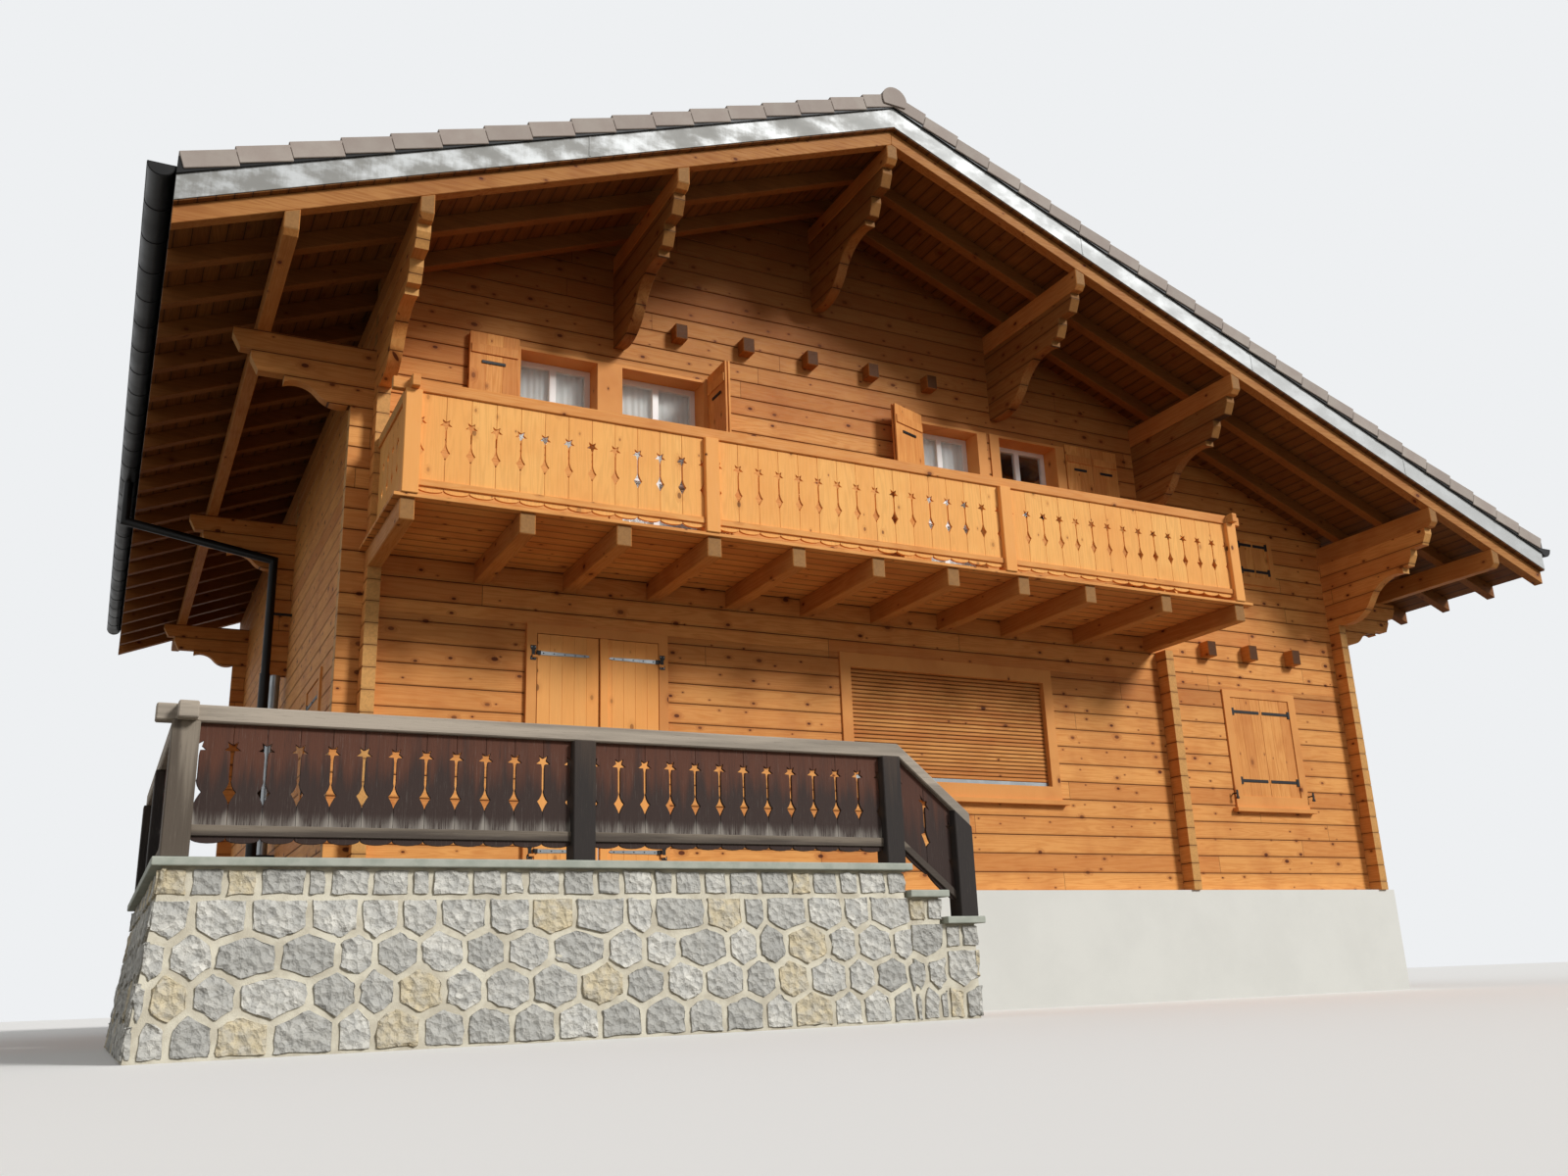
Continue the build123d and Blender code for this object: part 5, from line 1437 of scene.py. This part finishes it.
class CHALET_OT_shutters(bpy.types.Operator):
    """Makes the boarded shutters, closed, folded back or swung out, with their ledges and irons"""

    bl_idname = "chalet.shutters"
    bl_label = "Make Shutters"

    def execute(self, context):
        draw = random.Random(sizes().seed + 4)
        centre = Vector((house_width / 2, house_depth / 2, 0))
        wooden, irons = [], []
        parts_found = loose_parts("shutters")
        centres = [sum(box_of(points), Vector()) / 2 for points in parts_found]
        for points, middle in zip(parts_found, centres):
            low, high = box_of(points)
            corners = []
            for point in points:
                flat = Vector((point.x, point.y, 0))
                if all((flat - corner).length > 0.002 for corner in corners):
                    corners.append(flat)
            corners.sort(key=lambda c: (c - centre).length)
            first = corners[0]
            others = sorted(corners[1:], key=lambda c: (c - first).length)
            across, along = others[0] - first, others[1] - first
            width, thick = along.length, across.length
            seat = frame_of((first.x, first.y, low.z), along.normalized(), across.normalized())
            leaves = 2 if thick > folded_thickness else 1
            leaf = thick / leaves
            against = low.y > wall_touch[0] and high.y < wall_touch[1] and low.z > upper_storey
            shown_back = leaves == 2 or (against and high.z > attic_reach)
            board = leaf - shutter_gap - (shutter_ledge if shown_back else 0.0)
            parts = []
            for number in range(leaves):
                for plank in boarded(width, high.z - low.z, board, draw):
                    plank.data.transform(Matrix.Translation((0, leaf * number, 0)))
                    parts.append(plank)
            tall = high.z - low.z
            if shown_back:
                for z in (0.12, tall - 0.2):
                    low_corner = (0.012, thick - back_inset, z)
                    ledge = eased_block(low_corner, (width - 0.012, thick, z + 0.085), 0.003)
                    parts.append(set_tone(ledge, draw.random()))
                bar = add_block(
                    (width * 0.28, thick - back_inset, tall - 0.29),
                    (width * 0.76, thick - 0.004, tall - 0.262)
                )
                irons.append(placed(ease(bar, 0.003), seat))
            else:
                mates = [c for c in centres if (c - middle).length > 0.05]
                mate = min(mates, key=lambda c: (c - middle).length)
                hinged_far = (mate - middle).dot(along) < 0
                for z in (tall * 0.14, tall * 0.84):
                    strap = add_block(
                        (width * 0.04, thick - 0.002, z), (width * 0.94, thick + 0.004, z + 0.032)
                    )
                    x = width - pad_width if hinged_far else 0.0
                    pad = add_block((x, thick - 0.002, z - 0.024), (x + pad_width, thick + 0.008, z + 0.056))
                    irons += [placed(ease(part, 0.001), seat) for part in (strap, pad)]
                if low.y > -0.15 and high.y < 0.05 and high.z < 3.5:
                    edge = low.x - 0.13 if mate.x > middle.x else high.x + 0.13
                    irons += self.stay(edge, low.z + 0.02)
            for part in parts:
                placed(part, seat)
            wooden += parts
        dress(join("shutter_boards", wooden), "shutter", stands_for=("shutters",))
        dress(join("shutter_irons", irons), "iron")
        return {"FINISHED"}

    def stay(self, x, z):
        """The turning catch on the front wall that holds a shutter open: a pin, a tongue and a weight."""
        pin = add_block((x - 0.007, -0.062, z - 0.007), (x + 0.007, 0.004, z + 0.007))
        tongue = add_block((x - 0.013, -0.07, z - 0.055), (x + 0.013, -0.06, z + 0.035))
        weight = add_block((x - 0.018, -0.074, z - 0.06), (x + 0.018, -0.056, z - 0.035))
        return [ease(part, 0.003) for part in (pin, tongue, weight)]


bar_half = 0.012


class CHALET_OT_windows(bpy.types.Operator):
    """Adds the glazing bars, the roller shutter's slats and the pleated curtains"""

    bl_idname = "chalet.windows"
    bl_label = "Make Windows"

    def execute(self, context):
        bars = [ease(merged_copy("window_frames", "window_joinery"), 0.003)]
        for low, high in loose_boxes("window_glass"):
            middle = (low.z + high.z) / 2
            thin_y = high.y - low.y < high.x - low.x
            reach = Vector((0, bar_half, 0)) if thin_y else Vector((bar_half, 0, 0))
            first = Vector((low.x, low.y, middle - bar_half)) - reach
            bars.append(eased_block(first, Vector((high.x, high.y, middle + bar_half)) + reach, 0.003))
        stand_in(join("window_joinery", bars), "window_frames", "white")
        self.roller()
        curtains = [self.curtain(n, *box) for n, box in enumerate(loose_boxes("curtains"))]
        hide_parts("curtains")
        return {"FINISHED"}

    def roller(self):
        """Slats with rounded edges, stacked one over the next, over a silver bottom bar."""
        s = sizes()
        low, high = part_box("roller_shutter")
        bar = 0.045
        count = round((high.z - low.z - bar) / s.slat)
        pitch = (high.z - low.z - bar) / count
        draw = random.Random(s.seed + 5)
        slat_foot = low.z + bar
        low_corner = (low.x, low.y, slat_foot + 0.001)
        slat = eased_block(low_corner, (high.x, high.y, slat_foot + pitch - 0.001), 0.009, 2)
        slats = [set_tone(moved(slat, z=pitch * index), draw.random()) for index in range(count)]
        drop(slat)
        stand_in(join("roller_slats", slats), "roller_shutter", "slats")
        edge = eased_block(low, (high.x, high.y, low.z + bar - 0.001), 0.006, 2)
        edge.name = "roller_bottom_bar"
        dress(edge, "strap")

    def curtain(self, number, low, high):
        """A net curtain gathered to its window, cut wider than the window by its pleats."""
        s = sizes()
        width, height = high.x - low.x, high.z - low.z
        middle, depth = (low.y + high.y) / 2, (high.y - low.y) / 2
        pleats = round(width / s.pleat)
        steps = pleats * 8
        cloth = primitive(
            "grid", (width, height, 1), x_subdivisions=steps, y_subdivisions=6, size=1, rotation=ALONG_Y,
            location=((low.x + high.x) / 2, middle, (low.z + high.z) / 2)
        )
        draw = random.Random(s.seed + 6 + number)
        shift = draw.uniform(0, 6)

        def fold(x):
            """How far the cloth stands out at a place along the window."""
            run = (x - low.x) / width
            return depth * 0.95 * sin(tau * pleats * run + 1.3 * sin(tau * run * 2.3 + shift))

        for vertex in cloth.data.vertices:
            vertex.co.y += fold(vertex.co.x)
        bpy.ops.object.shade_smooth()
        cloth.name = f"curtain_{number + 1}"
        return dress(cloth, "net")


# Where the photograph was taken from, solved from the log courses of the gable front
photo_place = (-1.682, -10.296, 0.261)
photo_turn_tilt_roll = (27.756, 16.84, -2.204)
photo_lens = 30.31


class CHALET_OT_stage(bpy.types.Operator):
    """Sets the pale floor, the soft light and the camera at the photograph's place"""

    bl_idname = "chalet.stage"
    bl_label = "Set Stage"

    def execute(self, context):
        self.floor()
        self.light()
        self.camera(context)
        return {"FINISHED"}

    def seen(self, add):
        """1 where a thing is seen, straight, in a reflection or through glass, and 0 where it only lights."""
        path = add("LightPath").outputs
        direct = add("MAXIMUM", path["Is Camera Ray"], path["Is Glossy Ray"])
        return add("MAXIMUM", direct, path["Is Transmission Ray"])

    def floor(self):
        floor = primitive("circle", vertices=96, radius=90, fill_type="NGON", location=(5, 5, 0))
        floor.name = "floor"
        material, add = new_material("pale_floor")
        shown = add("Mix", self.seen(add), "#726B60", "#F0EEEA")
        surface(add, shown, Roughness=0.95, Specular_IOR_Level=0.1)
        floor.data.materials.append(material)

    def light(self):
        world = bpy.data.worlds.new("soft_sky")
        bpy.context.scene.world = world
        world.use_nodes = True
        world.node_tree.nodes.clear()
        add = partial(add_node, world.node_tree)
        soft = add("Background", "#F3F4F6", 0.5)
        shown = add("Background", "#EEF0F2", 1.0)
        add("OutputWorld", add("MixShader", self.seen(add), soft, shown))
        key = bpy.data.lights.new("key", "SUN")
        key.energy = 2.7
        key.angle = radians(14)
        lamp = bpy.data.objects.new("key", key)
        lamp.rotation_euler = Vector((-0.42, 0.72, -0.46)).to_track_quat("-Z", "Y").to_euler()
        bpy.context.scene.collection.objects.link(lamp)

    def camera(self, context):
        turn, tilt, roll = (radians(degrees) for degrees in photo_turn_tilt_roll)
        ahead = Vector((sin(turn) * cos(tilt), cos(turn) * cos(tilt), sin(tilt)))
        level = Vector((cos(turn), -sin(turn), 0))
        up = level.cross(ahead)
        right = cos(roll) * level + sin(roll) * up
        upright = -sin(roll) * level + cos(roll) * up
        data = bpy.data.cameras.new("camera")
        data.sensor_width = 36.0
        data.lens = photo_lens
        data.clip_start = 0.1
        data.clip_end = 500.0
        camera = bpy.data.objects.new("camera", data)
        context.scene.collection.objects.link(camera)
        camera.matrix_world = frame_of(photo_place, right, upright, -ahead)
        context.scene.camera = camera
        context.scene.view_settings.view_transform = "Standard"


piece_operators = (
    CHALET_OT_finishes,
    CHALET_OT_timber,
    CHALET_OT_roof_tiles,
    CHALET_OT_ridge,
    CHALET_OT_gutters,
    CHALET_OT_flashing,
    CHALET_OT_fretwork,
    CHALET_OT_stonework,
    CHALET_OT_doors,
    CHALET_OT_shutters,
    CHALET_OT_windows,
    CHALET_OT_stage,
)


class CHALET_PT_panel(bpy.types.Panel):
    """Lists the steps that dress the chalet, with their sizes and colours"""

    bl_label = "Alpine Chalet"
    bl_space_type = "VIEW_3D"
    bl_region_type = "UI"
    bl_category = "Chalet"

    def draw(self, context):
        layout = self.layout
        for operator in piece_operators:
            layout.operator(operator.bl_idname)
        for group in (context.scene.chalet_sizes, context.scene.chalet_colours):
            for name in group.__annotations__:
                layout.prop(group, name)


registered = (ChaletSizes, ChaletColours) + piece_operators + (CHALET_PT_panel,)


def register():
    for item in registered:
        bpy.utils.register_class(item)
    bpy.types.Scene.chalet_sizes = PointerProperty(type=ChaletSizes)
    bpy.types.Scene.chalet_colours = PointerProperty(type=ChaletColours)


def unregister():
    del bpy.types.Scene.chalet_sizes
    del bpy.types.Scene.chalet_colours
    for item in reversed(registered):
        bpy.utils.unregister_class(item)


def main():
    """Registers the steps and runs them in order."""
    register()
    for operator in piece_operators:
        family, step = operator.bl_idname.split(".")
        getattr(getattr(bpy.ops, family), step)()


if __name__ == "__main__":
    main()
